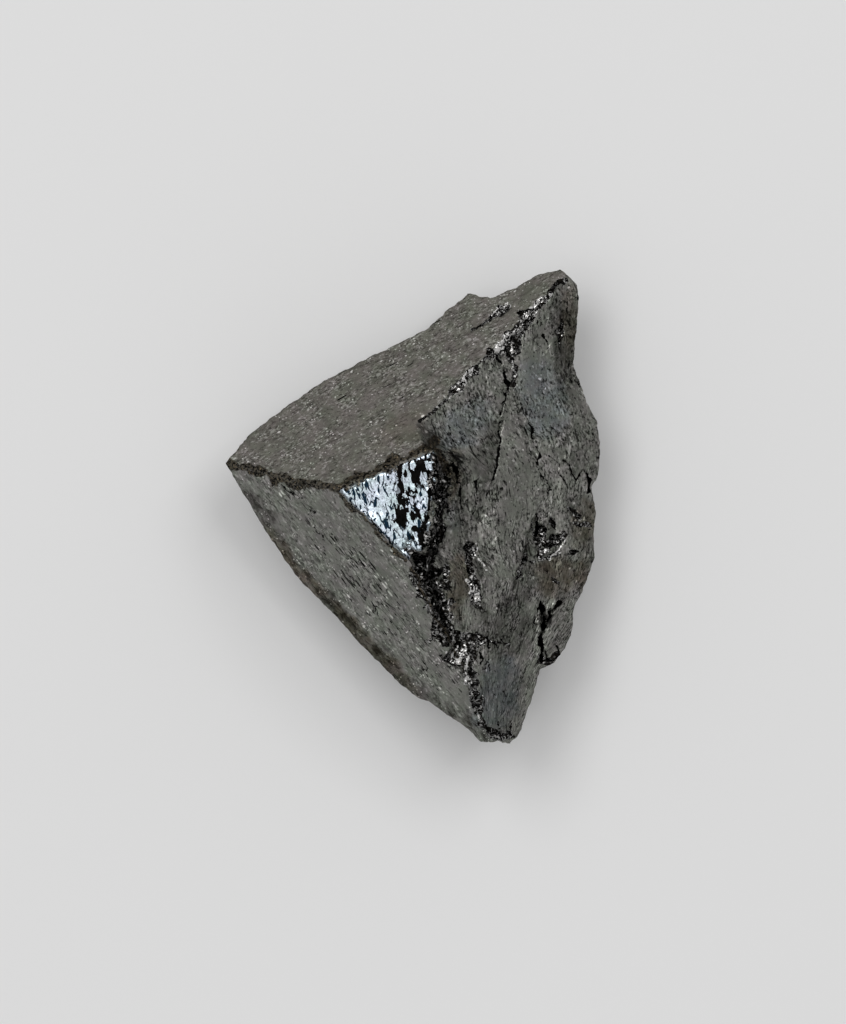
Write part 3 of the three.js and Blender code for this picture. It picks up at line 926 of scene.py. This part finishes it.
def stretched(tree, place, fineness, stretch):
    """The place times the fineness, with its first way also divided by the stretch."""
    first = divide(tree, fineness, stretch)
    factors = put(tree, "ShaderNodeCombineXYZ", {"X": first, "Y": fineness, "Z": fineness})
    return vector_math(tree, "MULTIPLY", place, factors.outputs[0])


def shade(colour, factor):
    """The colour times a factor, with full alpha."""
    return (*(part * factor for part in colour[:3]), 1.0)


# ---- node groups -------------------------------------------------------------------

def new_group(name, inputs, outputs):
    """A shader node group. Its sockets are given as each kind's names, with commas
    between. Returns the tree and the sockets that its inputs give inside it."""
    tree = bpy.data.node_groups.new(name, "ShaderNodeTree")
    for side, kinds in (("INPUT", inputs), ("OUTPUT", outputs)):
        for kind, labels in kinds.items():
            for label in labels.split(", "):
                tree.interface.new_socket(name=label, in_out=side, socket_type=SOCKETS[kind])
    return tree, tree.nodes.new("NodeGroupInput").outputs


def new_pattern(name, settings, results):
    """A group for a pattern over a place that its Fineness and Stretch draw out, with
    more settings and results, all numbers. Returns the drawn place as well."""
    tree, given = new_group(name, {"vector": "Place", "number": "Fineness, Stretch, " + settings},
                            {"number": results})
    return tree, given, stretched(tree, given["Place"], given["Fineness"], given["Stretch"])


def give(tree, **results):
    """Links a group's results to its outputs."""
    put(tree, "NodeGroupOutput", results)


def place_group(tree, name, **inputs):
    """Places a node group with its own values; an underscore in an input's name stands
    for a space. Returns its outputs."""
    named = {label.replace("_", " "): value for label, value in inputs.items()}
    return put(tree, "ShaderNodeGroup", named, node_tree=bpy.data.node_groups[name]).outputs


def make_grain_group():
    """Grain: fine, sharply mottled noise drawn out along the place's first way, from 0 to
    1, which flattens to a half where Calm is 1."""
    tree, given, drawn = new_pattern("Grain", "Calm", "Grain")
    grain = mottle(tree, drawn, 1.0, 2.0, 0.7, 0.4)[0]
    give(tree, Grain=between(tree, given["Calm"], ramp(tree, grain, 0.36, 0.64), 0.5))


def make_speckle_group():
    """Speckle: the lowest and the highest parts of a sharp stretched noise, as Dark and
    Pale masks; more Amount lets more of both show."""
    tree, given, drawn = new_pattern("Speckle", "Amount", "Dark, Pale")
    margin = between(tree, given["Amount"], 0.17, 0.02)
    above = minus(tree, mottle(tree, drawn, 1.0, 3.0, 0.75, 0.3)[0], 0.5)
    dark, pale = (ramp(tree, minus(tree, side, margin), 0.0, 0.06)
                  for side in (times(tree, above, -1.0), above))
    give(tree, Dark=dark, Pale=pale)


def make_hairlines_group():
    """Hairlines: thin wavering lines where a stretched noise passes its middle, broken up
    by a wider noise; Width is in the noise's own values, and Cover is how much of them
    is left."""
    tree, given, drawn = new_pattern("Hairlines", "Width, Cover", "Line")
    off = absolute(tree, minus(tree, mottle(tree, drawn, 1.0, 2.5, 0.55, 1.2)[0], 0.5))
    line = ramp(tree, minus(tree, given["Width"], off), 0.0, 0.008)
    left = minus(tree, mottle(tree, given["Place"], 1.7, 1.5)[0],
                 between(tree, given["Cover"], 0.7, 0.35))
    give(tree, Line=times(tree, line, ramp(tree, left, 0.0, 0.05)))


def make_flecks_group():
    """Flecks: drawn-out spots round some of the cells' sites, no two alike in size or
    strength; Reach is the largest spot's radius as a share of a cell, and Cover is the
    share of the cells that have one, more where a wider noise is high."""
    tree, given, drawn = new_pattern("Flecks", "Reach, Cover", "Fleck")
    waver = mottle(tree, drawn, 1.3, 2.0)["Color"]
    cell = cells(tree, vector_math(tree, "MULTIPLY_ADD", waver, (0.7, 0.7, 0.7), drawn))
    wide = mottle(tree, given["Place"], 0.9, 3.0, 0.6)[0]
    cover = times(tree, ramp(tree, wide, 0.38, 0.62, 0.15, 1.85), given["Cover"])
    chance, size, strength = three_chances(tree, cell["Color"])[:3]
    reach = times(tree, given["Reach"], ramp(tree, size, 0.0, 1.0, 0.4, 1.0))
    spot = ramp(tree, minus(tree, reach, cell["Distance"]), 0.0, 0.12)
    shown = times(tree, spot, is_under(tree, chance, cover))
    give(tree, Fleck=times(tree, shown, ramp(tree, strength, 0.0, 1.0, 0.45, 1.0)))


def make_facets_group():
    """Broken Facets: flat facets at random tilts, as a height, and a chance from 0 to 1
    that is the same all over each facet."""
    tree, given = new_group("Broken Facets", {"vector": "Place", "number": "Fineness"},
                            {"number": "Height, Chance"})
    fine = put(tree, "ShaderNodeVectorMath", {0: given["Place"], "Scale": given["Fineness"]},
               operation="SCALE").outputs[0]
    cell = cells(tree, fine)
    offset = vector_math(tree, "SUBTRACT", fine, cell["Position"])
    tilt = vector_math(tree, "SUBTRACT", cell["Color"], (0.5, 0.5, 0.5))
    height = put(tree, "ShaderNodeVectorMath", {0: offset, 1: tilt}, operation="DOT_PRODUCT")
    give(tree, Height=height.outputs["Value"], Chance=three_chances(tree, cell["Color"])[2])


def make_wear_group():
    """Breaks, Wear And Painted Light: lays glossy broken facets, painted black as the shade of
    their hollows and as dark reflections, with white blades painted as highlights, gritty brown
    worn edges, painted white glints and dark cracks over a face's colour, roughness and height,
    each where its mask says. All the masks share one ragged edge."""
    tree, given = new_group(
        "Breaks, Wear And Painted Light",
        {"vector": "Place, Blades", "colour": "Color, Pitch, Gleam, Rust, Gold",
         "number": "Roughness, Height, Broken, Flash, Glint, Worn, Vein"},
        {"colour": "Color", "number": "Roughness, Height"})
    place, gleam = given["Place"], given["Gleam"]
    edge = times_plus(tree, mottle(tree, place, 4.0, 4.0, 0.65)[0], 1.6, -0.8)

    # Fresh breaks: black facets, painted as shade and dark reflections, with white blades and
    # small glints where they flash, painted as highlights.
    broken = ramp(tree, plus(tree, given["Broken"], edge), 0.4, 0.5)
    facet = place_group(tree, "Broken Facets", Place=place, Fineness=3.4)
    small = place_group(tree, "Broken Facets", Place=place, Fineness=8.0)
    blades = place_group(tree, "Broken Facets", Place=given["Blades"], Fineness=3.0)
    slits = place_group(tree, "Broken Facets", Place=given["Blades"], Fineness=8.5)
    stroke = place_group(tree, "Hairlines", Place=place, Fineness=2.6, Stretch=1.3,
                         Width=0.025, Cover=0.7)["Line"]
    speckle = place_group(tree, "Speckle", Place=place, Fineness=7.0, Stretch=1.3, Amount=0.7)
    murk = blend(tree, ramp(tree, facet["Chance"], 0.6, 1.0, 0.0, 0.35), given["Pitch"],
                 given["Rust"])
    murk = blend(tree, times(tree, speckle["Pale"], 0.2), murk, gleam)
    murk = blend(tree, times(tree, stroke, 0.5), murk, gleam)
    flash = given["Flash"]
    lit = ramp(tree, minus(tree, blades["Chance"], between(tree, flash, 1.0, 0.5)), 0.0, 0.12)
    slit = is_over(tree, slits["Chance"], 0.35)
    spark = ramp(tree, minus(tree, small["Chance"], between(tree, flash, 0.93, 0.78)), 0.0, 0.05)
    shine = highest(tree, times(tree, lit, slit), times(tree, spark, 0.8))
    colour = blend(tree, broken, given["Color"], blend(tree, shine, murk, gleam))
    roughness = between(tree, broken, given["Roughness"], 0.3)
    steps = times_plus(tree, facet["Height"], 0.1, times(tree, small["Height"], 0.04))
    height = between(tree, broken, given["Height"], steps)

    # Worn edges: brown, with black pits and straw-coloured specks.
    worn = ramp(tree, times_plus(tree, edge, 0.5, given["Worn"]), 0.25, 0.75)
    grit = place_group(tree, "Speckle", Place=place, Fineness=7.0, Stretch=1.3, Amount=1.0)
    specks = place_group(tree, "Flecks", Place=place, Fineness=8.0, Stretch=1.0, Reach=0.45,
                         Cover=0.2)
    pit = times(tree, worn, grit["Dark"])
    pale = highest(tree, specks["Fleck"], times(tree, grit["Pale"], 0.15))
    colour = blend(tree, times(tree, worn, 0.8), colour, given["Rust"])
    colour = blend(tree, pit, colour, given["Pitch"])
    colour = blend(tree, times(tree, worn, pale), colour, given["Gold"])
    roughness = between(tree, worn, roughness, 0.42)
    height = times_plus(tree, pit, -0.05, height)

    # Painted glints: a mask up to 1 shows only the likeliest blades, over 1 all but the slits
    # between them, and over 1.5 everything.
    glint = ramp(tree, times_plus(tree, edge, 0.8, given["Glint"]), 0.45, 0.6)
    blade = highest(tree, ramp(tree, given["Glint"], 1.0, 1.1),
                    is_over(tree, blades["Chance"], 0.62))
    shown = highest(tree, ramp(tree, given["Glint"], 1.5, 1.6), times(tree, blade, slit))
    colour = blend(tree, times(tree, glint, shown), colour, gleam)

    vein = ramp(tree, plus(tree, given["Vein"], edge), 0.45, 0.6)
    colour = blend(tree, vein, colour, CRACK_BLACK)
    give(tree, Color=colour, Roughness=between(tree, vein, roughness, 0.6), Height=height)


def make_stain_group():
    """Stains And Painted Shade: multiplies a colour by the brown and steel stain tints and by the
    painted shade tint where their masks and a patchy noise say, and by a slow drift between a
    green and a red cast."""
    tree, given = new_group(
        "Stains And Painted Shade", {"vector": "Place", "colour": "Color, Brown Tint, Steel Tint",
                   "number": "Brown, Steel, Shade"}, {"colour": "Color"})
    patch = ramp(tree, mottle(tree, given["Place"], 1.6, 4.0, 0.65)[0], 0.3, 0.6, 0.35, 1.0)
    drift = ramp(tree, mottle(tree, given["Place"], 1.1, 3.0, 0.6)[0], 0.35, 0.65)
    colour = blend(tree, 1.0, given["Color"], blend(tree, drift, GREEN_CAST, RED_CAST),
                   "MULTIPLY")
    # The Shade mask and its tint are painted shade.
    for mask, tone in (("Brown", given["Brown Tint"]), ("Steel", given["Steel Tint"]),
                       ("Shade", PAINTED_SHADE_TINT)):
        colour = blend(tree, times(tree, given[mask], patch), colour, tone, "MULTIPLY")
    give(tree, Color=colour)


# ---- materials ---------------------------------------------------------------------

def mask_value(tree, name):
    """A mask that the mesh carries at its points."""
    return put(tree, "ShaderNodeAttribute", attribute_name=name).outputs["Fac"]


def mask_inputs(tree, *names):
    """A group's inputs for the masks with these names."""
    return {name.capitalize(): mask_value(tree, name) for name in names}


def stone_place(tree, heading, depth=DEPTH_SHARE):
    """The place on the stone in drawn millimetres, turned so that its first way follows
    the heading, with its height times the share of depth."""
    place = put(tree, "ShaderNodeTexCoord").outputs["Object"]
    mapping = {"Vector": place, "Rotation": (0, 0, -math.radians(heading)),
               "Scale": (1 / UNIT, 1 / UNIT, depth / UNIT)}
    return put(tree, "ShaderNodeMapping", mapping, vector_type="POINT").outputs[0]


def flow_coordinates(tree):
    """The fibres' own coordinates, with the way along them first."""
    flow = put(tree, "ShaderNodeAttribute", attribute_name="flow").outputs["Vector"]
    across, along, height = put(tree, "ShaderNodeSeparateXYZ", {0: flow}).outputs
    return put(tree, "ShaderNodeCombineXYZ", {0: along, 1: across, 2: height}).outputs[0]


def flecks(tree, place, fineness, stretch, reach, cover):
    """The Flecks group's result at a place."""
    return place_group(tree, "Flecks", Place=place, Fineness=fineness, Stretch=stretch,
                       Reach=reach, Cover=cover)["Fleck"]


def new_material(name):
    """A material with an empty node tree."""
    material = bpy.data.materials.new(name)
    material.use_nodes = True
    material.node_tree.nodes.clear()
    return material, material.node_tree


def finish_material(tree, inputs):
    """Ends a material with a shader that has these inputs."""
    shader = put(tree, "ShaderNodeBsdfPrincipled", inputs)
    put(tree, "ShaderNodeOutputMaterial", {"Surface": shader.outputs[0]})


def finish_stone(tree, colours, colour, roughness, height, depth=DEPTH_SHARE):
    """Stains, painted shade, breaks, wear and painted glints and highlights over a face's own
    colour, roughness and height, into a metallic shader; heights are in drawn millimetres."""
    place = stone_place(tree, 0.0, depth)
    stained = place_group(tree, "Stains And Painted Shade", Place=place, Color=colour,
                          Brown_Tint=colours.brown_tint, Steel_Tint=colours.steel_tint,
                          **mask_inputs(tree, "brown", "steel", "shade"))
    blades = stretched(tree, stone_place(tree, BLADE_HEADING, depth), 1.2, 2.6)
    worn = place_group(tree, "Breaks, Wear And Painted Light", Place=place, Blades=blades,
                       Color=stained["Color"], Roughness=roughness, Height=height,
                       Pitch=colours.pitch, Gleam=colours.gleam, Rust=colours.rust,
                       Gold=colours.gold,
                       **mask_inputs(tree, "broken", "flash", "glint", "worn", "vein"))
    bump = put(tree, "ShaderNodeBump", {"Strength": 1.0, "Distance": UNIT,
                                        "Height": worn["Height"]})
    finish_material(tree, {"Base Color": worn["Color"], "Metallic": 1.0,
                           "Roughness": worn["Roughness"],
                           "Specular Tint": (0.1, 0.1, 0.1, 1.0), "Normal": bump.outputs[0]})


def growth_face_material(name, colours, skin, heading, dash_cover, pitting):
    """A natural face: a smooth grey skin with fine speckles in patches and pale dots, dark dashes
    and white slivers drawn out along its heading where it is pitted, and a coarse crust along the
    rim. The pale dots, sparks and slivers are painted glints."""
    material, tree = new_material(name)
    place, gleam = stone_place(tree, heading), colours.gleam
    active = times(tree, ramp(tree, mottle(tree, place, 0.8, 3.0, 0.6)[0], 0.38, 0.62, 1.0, 0.15),
                   minus(tree, 1.0, mask_value(tree, "smoothed")))
    pitted, crust = mask_value(tree, "pitted"), mask_value(tree, "crust")
    speckle = place_group(tree, "Speckle", Place=place, Fineness=7.0, Stretch=1.7 + dash_cover,
                          Amount=times_plus(tree, active, 0.5, 0.45))
    tone = place_group(tree, "Grain", Place=place, Fineness=1.7, Stretch=1.6, Calm=0.0)["Grain"]
    dots = flecks(tree, place, 8.0, 1.2, 0.45, times_plus(tree, active, 0.24, 0.05))
    sparks = flecks(tree, place, 4.4, 1.3, 0.42, 0.04)
    dashes = flecks(tree, place, 8.0, 7.0, 0.5, times_plus(tree, pitted, 0.5 * dash_cover, 0.02))
    cracks = place_group(tree, "Hairlines", Place=place, Fineness=1.1, Stretch=4.5, Width=0.012,
                         Cover=times(tree, pitted, dash_cover))["Line"]
    dashes = highest(tree, times(tree, dashes, 1.7, clamp=True), cracks)
    slivers = flecks(tree, place, 6.0, 3.5, 0.5, times(tree, pitted, 0.16))
    dark = times(tree, speckle["Dark"], pitting)
    colour = blend(tree, tone, shade(skin, 0.88), shade(skin, 1.14))
    # The pale dots, sparks and slivers laid on in gleam are painted glints.
    for share, over in ((dark, shade(skin, 0.1)), (times(tree, speckle["Pale"], 0.32), gleam),
                        (highest(tree, dots, sparks), gleam),
                        (dashes, shade(colours.pitch, 0.5)), (slivers, gleam)):
        colour = blend(tree, share, colour, over)
    clots = place_group(tree, "Grain", Place=place, Fineness=2.6, Stretch=1.4, Calm=0.0)["Grain"]
    crusted = blend(tree, clots, shade(colours.rust, 0.5), shade(skin, 0.95))
    crusted = blend(tree, dots, crusted, gleam)
    colour = blend(tree, times(tree, crust, 0.75), colour, crusted)
    height = times(tree, speckle["Pale"], 0.012)
    for share, rise in ((dark, -0.015), (dashes, -0.05), (times(tree, crust, 0.06), clots)):
        height = times_plus(tree, share, rise, height)
    finish_stone(tree, colours, colour, ramp(tree, tone, 0.0, 1.0, 0.55, 0.45), height)
    return material


def bright_face_material(name, colours):
    """The mirror-bright face: a pale skin with dark lenses and thin grey threads drawn out down
    the face, and black where the skin has gone but for a few scraps. The skin is paler than the
    mineral, which paints part of the face's mirror reflection of the light."""
    material, tree = new_material(name)
    place = stone_place(tree, THREAD_HEADING)
    drawn = stretched(tree, place, 4.2, 2.1)
    lenses = ramp(tree, mottle(tree, drawn, 1.0, 1.5, 0.6, 1.0)[0], 0.455, 0.425)
    fine = mottle(tree, drawn, 1.5, 2.0, 0.6, 1.6)
    thread = ramp(tree, absolute(tree, minus(tree, fine[0], 0.5)), 0.005, 0.05, 0.2, 1.0)
    cloud = ramp(tree, mottle(tree, place, 5.0, 2.0, 0.7)[0], 0.35, 0.6)
    # The pale skin paints part of the face's mirror reflection of the light.
    skin = blend(tree, cloud, shade(colours.bright, 0.6), colours.bright)
    skin = blend(tree, thread, shade(colours.bright, 0.25), skin)
    colour = blend(tree, lenses, skin, colours.lens)
    dull = mask_value(tree, "dull")
    bare = ramp(tree, plus(tree, dull, times_plus(tree, fine[0], 1.2, -0.6)), 0.4, 0.46)
    shift = vector_math(tree, "MULTIPLY_ADD", fine["Color"], (0.5, 0.5, 0.5), drawn)
    scraps = place_group(tree, "Broken Facets", Place=shift, Fineness=1.15)
    left = minus(tree, scraps["Chance"], ramp(tree, dull, 0.6, 1.05, 0.5, 0.9))
    black = blend(tree, ramp(tree, left, 0.0, 0.04), shade(colours.pitch, 0.35), skin)
    finish_stone(tree, colours, blend(tree, bare, colour, black), 0.16,
                 times(tree, lenses, -0.02))
    return material


def broken_skin(tree, colours, along, smooth):
    """A broken surface's colour, roughness and height: a speckled grey skin in soft folds drawn
    out along the first way, with black pits, thin dark lines, pale scratches and dots, fewer
    where it is smooth. Its white sparks are painted glints."""
    grey, gleam = colours.fracture, colours.gleam
    fold = place_group(tree, "Grain", Place=along, Fineness=0.8, Stretch=4.0, Calm=0.0)["Grain"]
    fibre = place_group(tree, "Grain", Place=along, Fineness=2.4, Stretch=2.6,
                        Calm=smooth)["Grain"]
    uneven = times(tree, ramp(tree, mottle(tree, along, 0.9, 3.0, 0.6)[0], 0.35, 0.6, 0.55, 1.0),
                   times_plus(tree, smooth, -0.6, 1.0))
    speckle = place_group(tree, "Speckle", Place=along, Fineness=8.0, Stretch=1.8, Amount=uneven)
    clumps = place_group(tree, "Speckle", Place=along, Fineness=3.2, Stretch=1.6, Amount=uneven)
    cracks, threads, scratches = (
        place_group(tree, "Hairlines", Place=along, Fineness=fineness, Stretch=stretch,
                    Width=width, Cover=times(tree, uneven, cover))["Line"]
        for fineness, stretch, width, cover in (
            (1.5, 2.6, 0.012, 0.7), (0.55, 6.0, 0.008, 1.0), (1.3, 3.5, 0.009, 1.0)))
    dark = flecks(tree, along, 5.5, 1.3, 0.42, times(tree, uneven, 0.07))
    for line in (flecks(tree, along, 6.5, 7.0, 0.5, times(tree, uneven, 0.15)), cracks, threads):
        dark = highest(tree, dark, line)
    dots = flecks(tree, along, 6.0, 1.4, 0.5, 0.12)
    sparks = flecks(tree, along, 4.0, 1.0, 0.42, 0.03)
    tone = times_plus(tree, fold, 0.5, times(tree, fibre, 0.5))
    colour = blend(tree, tone, shade(grey, 0.7), shade(grey, 1.4))
    # The sparks laid on in gleam are painted glints.
    for share, strength, over in (
            (clumps["Dark"], 0.3, shade(grey, 0.1)), (speckle["Dark"], 0.95, shade(grey, 0.12)),
            (speckle["Pale"], 0.24, gleam), (dots, 0.4, gleam), (scratches, 0.4, gleam),
            (sparks, 1.0, gleam), (dark, 1.0, shade(colours.pitch, 0.5))):
        colour = blend(tree, times(tree, share, strength), colour, over)
    height = times_plus(tree, speckle["Dark"], -0.024, times(tree, tone, 0.03))
    return colour, ramp(tree, fibre, 0.0, 1.0, 0.58, 0.46), height


def fracture_material(name, colours):
    """The broken side, with its fibres along the flow."""
    material, tree = new_material(name)
    skin = broken_skin(tree, colours, flow_coordinates(tree), mask_value(tree, "smoothed"))
    finish_stone(tree, colours, *skin)
    return material


def underside_material(name, colours):
    """The rougher broken surface of the walls and the underside, in small flat facets."""
    material, tree = new_material(name)
    place = stone_place(tree, UNDER_HEADING, 1.0)
    colour, roughness, height = broken_skin(tree, colours, place, 0.0)
    facet = place_group(tree, "Broken Facets", Place=place, Fineness=1.3)
    colour = blend(tree, ramp(tree, facet["Chance"], 0.0, 1.0, 0.45, 0.0), colour, colours.rust)
    height = times_plus(tree, facet["Height"], 0.12, height)
    finish_stone(tree, colours, colour, roughness, height, 1.0)
    return material


# ---- building the stage ------------------------------------------------------------

def plain_material(name, colour, roughness):
    """A plain studio surface with a faint unevenness."""
    material, tree = new_material(name)
    cloud = mottle(tree, put(tree, "ShaderNodeTexCoord").outputs["Object"], 9.0, 2.0)[0]
    tone = blend(tree, cloud, shade(colour, 0.985), shade(colour, 1.015))
    finish_material(tree, {"Base Color": tone, "Roughness": roughness})
    return material


def build_floor(name, reach, material):
    """A flat square floor at the level that the stone rests on: corners at plus and minus
    its reach both ways."""
    corners = np.array([(-1, -1, 0), (1, -1, 0), (1, 1, 0), (-1, 1, 0)]) * reach
    mesh = bpy.data.meshes.new(name)
    mesh.from_pydata(corners.tolist(), [], [(0, 1, 2, 3)])
    mesh.materials.append(material)
    floor = bpy.data.objects.new(name, mesh)
    bpy.context.scene.collection.objects.link(floor)
    return floor


def build_softbox(name, heading, height, distance, size, power):
    """A square soft light that faces the stone from a heading and a height, in degrees."""
    light = bpy.data.lights.new(name, "AREA")
    light.shape = "SQUARE"
    light.size = size
    light.energy = power
    lamp = bpy.data.objects.new(name, light)
    heading, height = math.radians(heading), math.radians(height)
    lamp.location = (distance * math.cos(height) * math.cos(heading),
                     distance * math.cos(height) * math.sin(heading),
                     distance * math.sin(height))
    lamp.rotation_euler = (math.pi / 2 - height, 0, heading + math.pi / 2)
    bpy.context.scene.collection.objects.link(lamp)
    return lamp


def build_camera(name, height, centre, view_length, middle_level):
    """A camera that looks straight down from its height. Its lens is the sensor's length
    times its distance from the stone's middle level, over the length that it sees there."""
    lens = bpy.data.cameras.new(name)
    lens.sensor_fit = "VERTICAL"
    lens.sensor_height = 36.0
    lens.lens = lens.sensor_height * (height - middle_level) / view_length
    lens.clip_start, lens.clip_end = 0.01, 20.0
    camera = bpy.data.objects.new(name, lens)
    camera.location = (*centre, height)
    bpy.context.scene.collection.objects.link(camera)
    bpy.context.scene.camera = camera
    return camera


def pale_world(name, colour, strength):
    """The studio's pale surroundings, even in every direction."""
    world = bpy.data.worlds.new(name)
    world.use_nodes = True
    surround = world.node_tree.nodes["Background"]
    surround.inputs["Color"].default_value = colour
    surround.inputs["Strength"].default_value = strength
    bpy.context.scene.world = world


# ---- the add-on --------------------------------------------------------------------

def tint(name, description, default):
    """A colour property, with full alpha."""
    return FloatVectorProperty(name=name, description=description, default=(*default, 1.0),
                               subtype="COLOR", size=4, min=0.0, max=1.0)


class StoneShape(PropertyGroup):
    """How strongly the stone's surface departs from its plain faces."""

    relief: FloatProperty(
        name="Relief", description="Strength of the fibres, facets and lumps",
        default=1.0, min=0.0, max=2.0, subtype="FACTOR")
    rim_wear: FloatProperty(
        name="Rim Wear", description="Depth of the dents along the rim, in drawn millimetres",
        default=0.04, min=0.0, max=0.3)
    pitting: FloatProperty(
        name="Pitting", description="Strength of the dark speckles on the natural faces",
        default=0.85, min=0.0, max=1.0, subtype="FACTOR")


class StoneColours(PropertyGroup):
    """The colours of the stone's finishes, as reflectance."""

    upper: tint("Upper Face", "Grey of the upper cube face", (0.23, 0.221, 0.202))
    lower: tint("Lower Face", "Grey of the lower cube face", (0.272, 0.273, 0.258))
    fracture: tint("Fracture", "Grey of the broken side", (0.225, 0.225, 0.209))
    # The bright skin is paler than the mineral, so it paints part of the bright face's mirror
    # reflection.
    bright: tint("Bright Skin", "Pale blue skin of the bright face", (0.44, 0.50, 0.56))
    lens: tint("Dark Lens", "Dark blue lenses in the bright skin", (0.005, 0.014, 0.024))
    # Pitch is also the black painted on fresh breaks as the shade of their hollows and as dark
    # reflections.
    pitch: tint("Pitch", "Black of fresh breaks and pits", (0.008, 0.0075, 0.007))
    # Gleam is the white painted as glints and highlights, and also of pale specks, scratches and
    # strokes.
    gleam: tint("Gleam", "Pale glint of small facets", (0.92, 0.91, 0.89))
    rust: tint("Rust", "Dark brown of worn edges", (0.048, 0.042, 0.034))
    gold: tint("Gold", "Straw-coloured specks in the worn edges", (0.42, 0.34, 0.22))
    brown_tint: tint("Brown Stain", "What brown stains let through", (0.80, 0.70, 0.60))
    steel_tint: tint("Steel Stain", "What blue-grey stains let through", (0.84, 0.91, 1.0))


class StageSettings(PropertyGroup):
    """The floor, the lights and the camera."""

    floor_colour: tint("Floor", "Colour of the floor", (0.80, 0.80, 0.80))
    floor_reach: FloatProperty(
        name="Floor Reach", description="Half the side of the floor",
        default=3.0, min=0.5, unit="LENGTH")
    surround: FloatProperty(
        name="Surroundings", description="Brightness of the pale surroundings",
        default=0.43, min=0.0)
    key_power: FloatProperty(
        name="Key Lights", description="Power of both soft lights above the upper side",
        default=2.8, min=0.0, unit="POWER")
    mirror_power: FloatProperty(
        name="Mirror Light", description="Power of the light that the bright face mirrors",
        default=0.48, min=0.0, unit="POWER")
    camera_height: FloatProperty(
        name="Camera Height", description="Height of the camera above the floor",
        default=0.6, min=0.1, unit="LENGTH")
    view_length: FloatProperty(
        name="View Length", description="Length that the camera sees from top to bottom",
        default=58.2 * UNIT, min=0.01, unit="LENGTH")


class SPECIMEN_OT_add_crystal(Operator):
    """Add the broken uraninite crystal in place of the frame's solid"""

    bl_idname = "specimen.add_crystal"
    bl_label = "Add Crystal"

    def execute(self, context):
        colours = context.scene.stone_colours
        shape = context.scene.stone_shape
        pitting = DARKEST_SPECKLE * shape.pitting
        for make_group in (make_grain_group, make_speckle_group, make_hairlines_group,
                           make_flecks_group, make_facets_group, make_wear_group,
                           make_stain_group):
            make_group()
        materials = (
            growth_face_material("uraninite upper face", colours, colours.upper,
                                 *UPPER_GRAIN, pitting),
            growth_face_material("uraninite lower face", colours, colours.lower,
                                 *LOWER_GRAIN, pitting),
            bright_face_material("uraninite bright face", colours),
            fracture_material("uraninite fracture", colours),
            underside_material("uraninite underside", colours))
        stone = build_stone("uraninite_stone", shape, materials)
        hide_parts("crystal")
        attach(stone, "root")
        return {"FINISHED"}


class SPECIMEN_OT_add_stage(Operator):
    """Add the pale floor, the soft lights, the surroundings and the camera"""

    bl_idname = "specimen.add_stage"
    bl_label = "Add Stage"

    def execute(self, context):
        stage = context.scene.specimen_stage
        floor = build_floor("studio_floor", stage.floor_reach,
                            plain_material("studio floor", stage.floor_colour, 0.9))
        pale_world("studio surroundings", (1.0, 1.0, 1.0, 1.0), stage.surround)
        for name, heading in KEY_LIGHTS:
            build_softbox(name, heading, KEY_HEIGHT, KEY_DISTANCE, SOFTBOX_SIDE,
                          stage.key_power / len(KEY_LIGHTS))
        build_softbox("mirror light", BRIGHT_FACE.heading, 90 - 2 * BRIGHT_FACE.lean,
                      MIRROR_DISTANCE, SOFTBOX_SIDE, stage.mirror_power)
        build_camera("specimen camera", stage.camera_height,
                     [part * UNIT for part in VIEW_CENTRE], stage.view_length,
                     MIDDLE_LEVEL * UNIT)
        context.scene.view_settings.view_transform = "Standard"
        return {"FINISHED"}


class SPECIMEN_PT_panel(Panel):
    """The specimen's parts and settings in the sidebar"""

    bl_label = "Uraninite Specimen"
    bl_idname = "SPECIMEN_PT_panel"
    bl_space_type = "VIEW_3D"
    bl_region_type = "UI"
    bl_category = "Specimen"

    def draw(self, context):
        scene = context.scene
        for settings, operator in ((scene.stone_shape, None),
                                   (scene.stone_colours, SPECIMEN_OT_add_crystal),
                                   (scene.specimen_stage, SPECIMEN_OT_add_stage)):
            box = self.layout.box()
            for name in settings.bl_rna.properties.keys():
                if name not in ("rna_type", "name"):
                    box.prop(settings, name)
            if operator:
                box.operator(operator.bl_idname)


CLASSES = (StoneShape, StoneColours, StageSettings, SPECIMEN_OT_add_crystal,
           SPECIMEN_OT_add_stage, SPECIMEN_PT_panel)


def register():
    for cls in CLASSES:
        bpy.utils.register_class(cls)
    bpy.types.Scene.stone_shape = PointerProperty(type=StoneShape)
    bpy.types.Scene.stone_colours = PointerProperty(type=StoneColours)
    bpy.types.Scene.specimen_stage = PointerProperty(type=StageSettings)


def unregister():
    del bpy.types.Scene.specimen_stage
    del bpy.types.Scene.stone_colours
    del bpy.types.Scene.stone_shape
    for cls in reversed(CLASSES):
        bpy.utils.unregister_class(cls)


def main():
    """Registers the add-on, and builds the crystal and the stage."""
    register()
    bpy.ops.specimen.add_crystal()
    bpy.ops.specimen.add_stage()


if __name__ == "__main__":
    main()
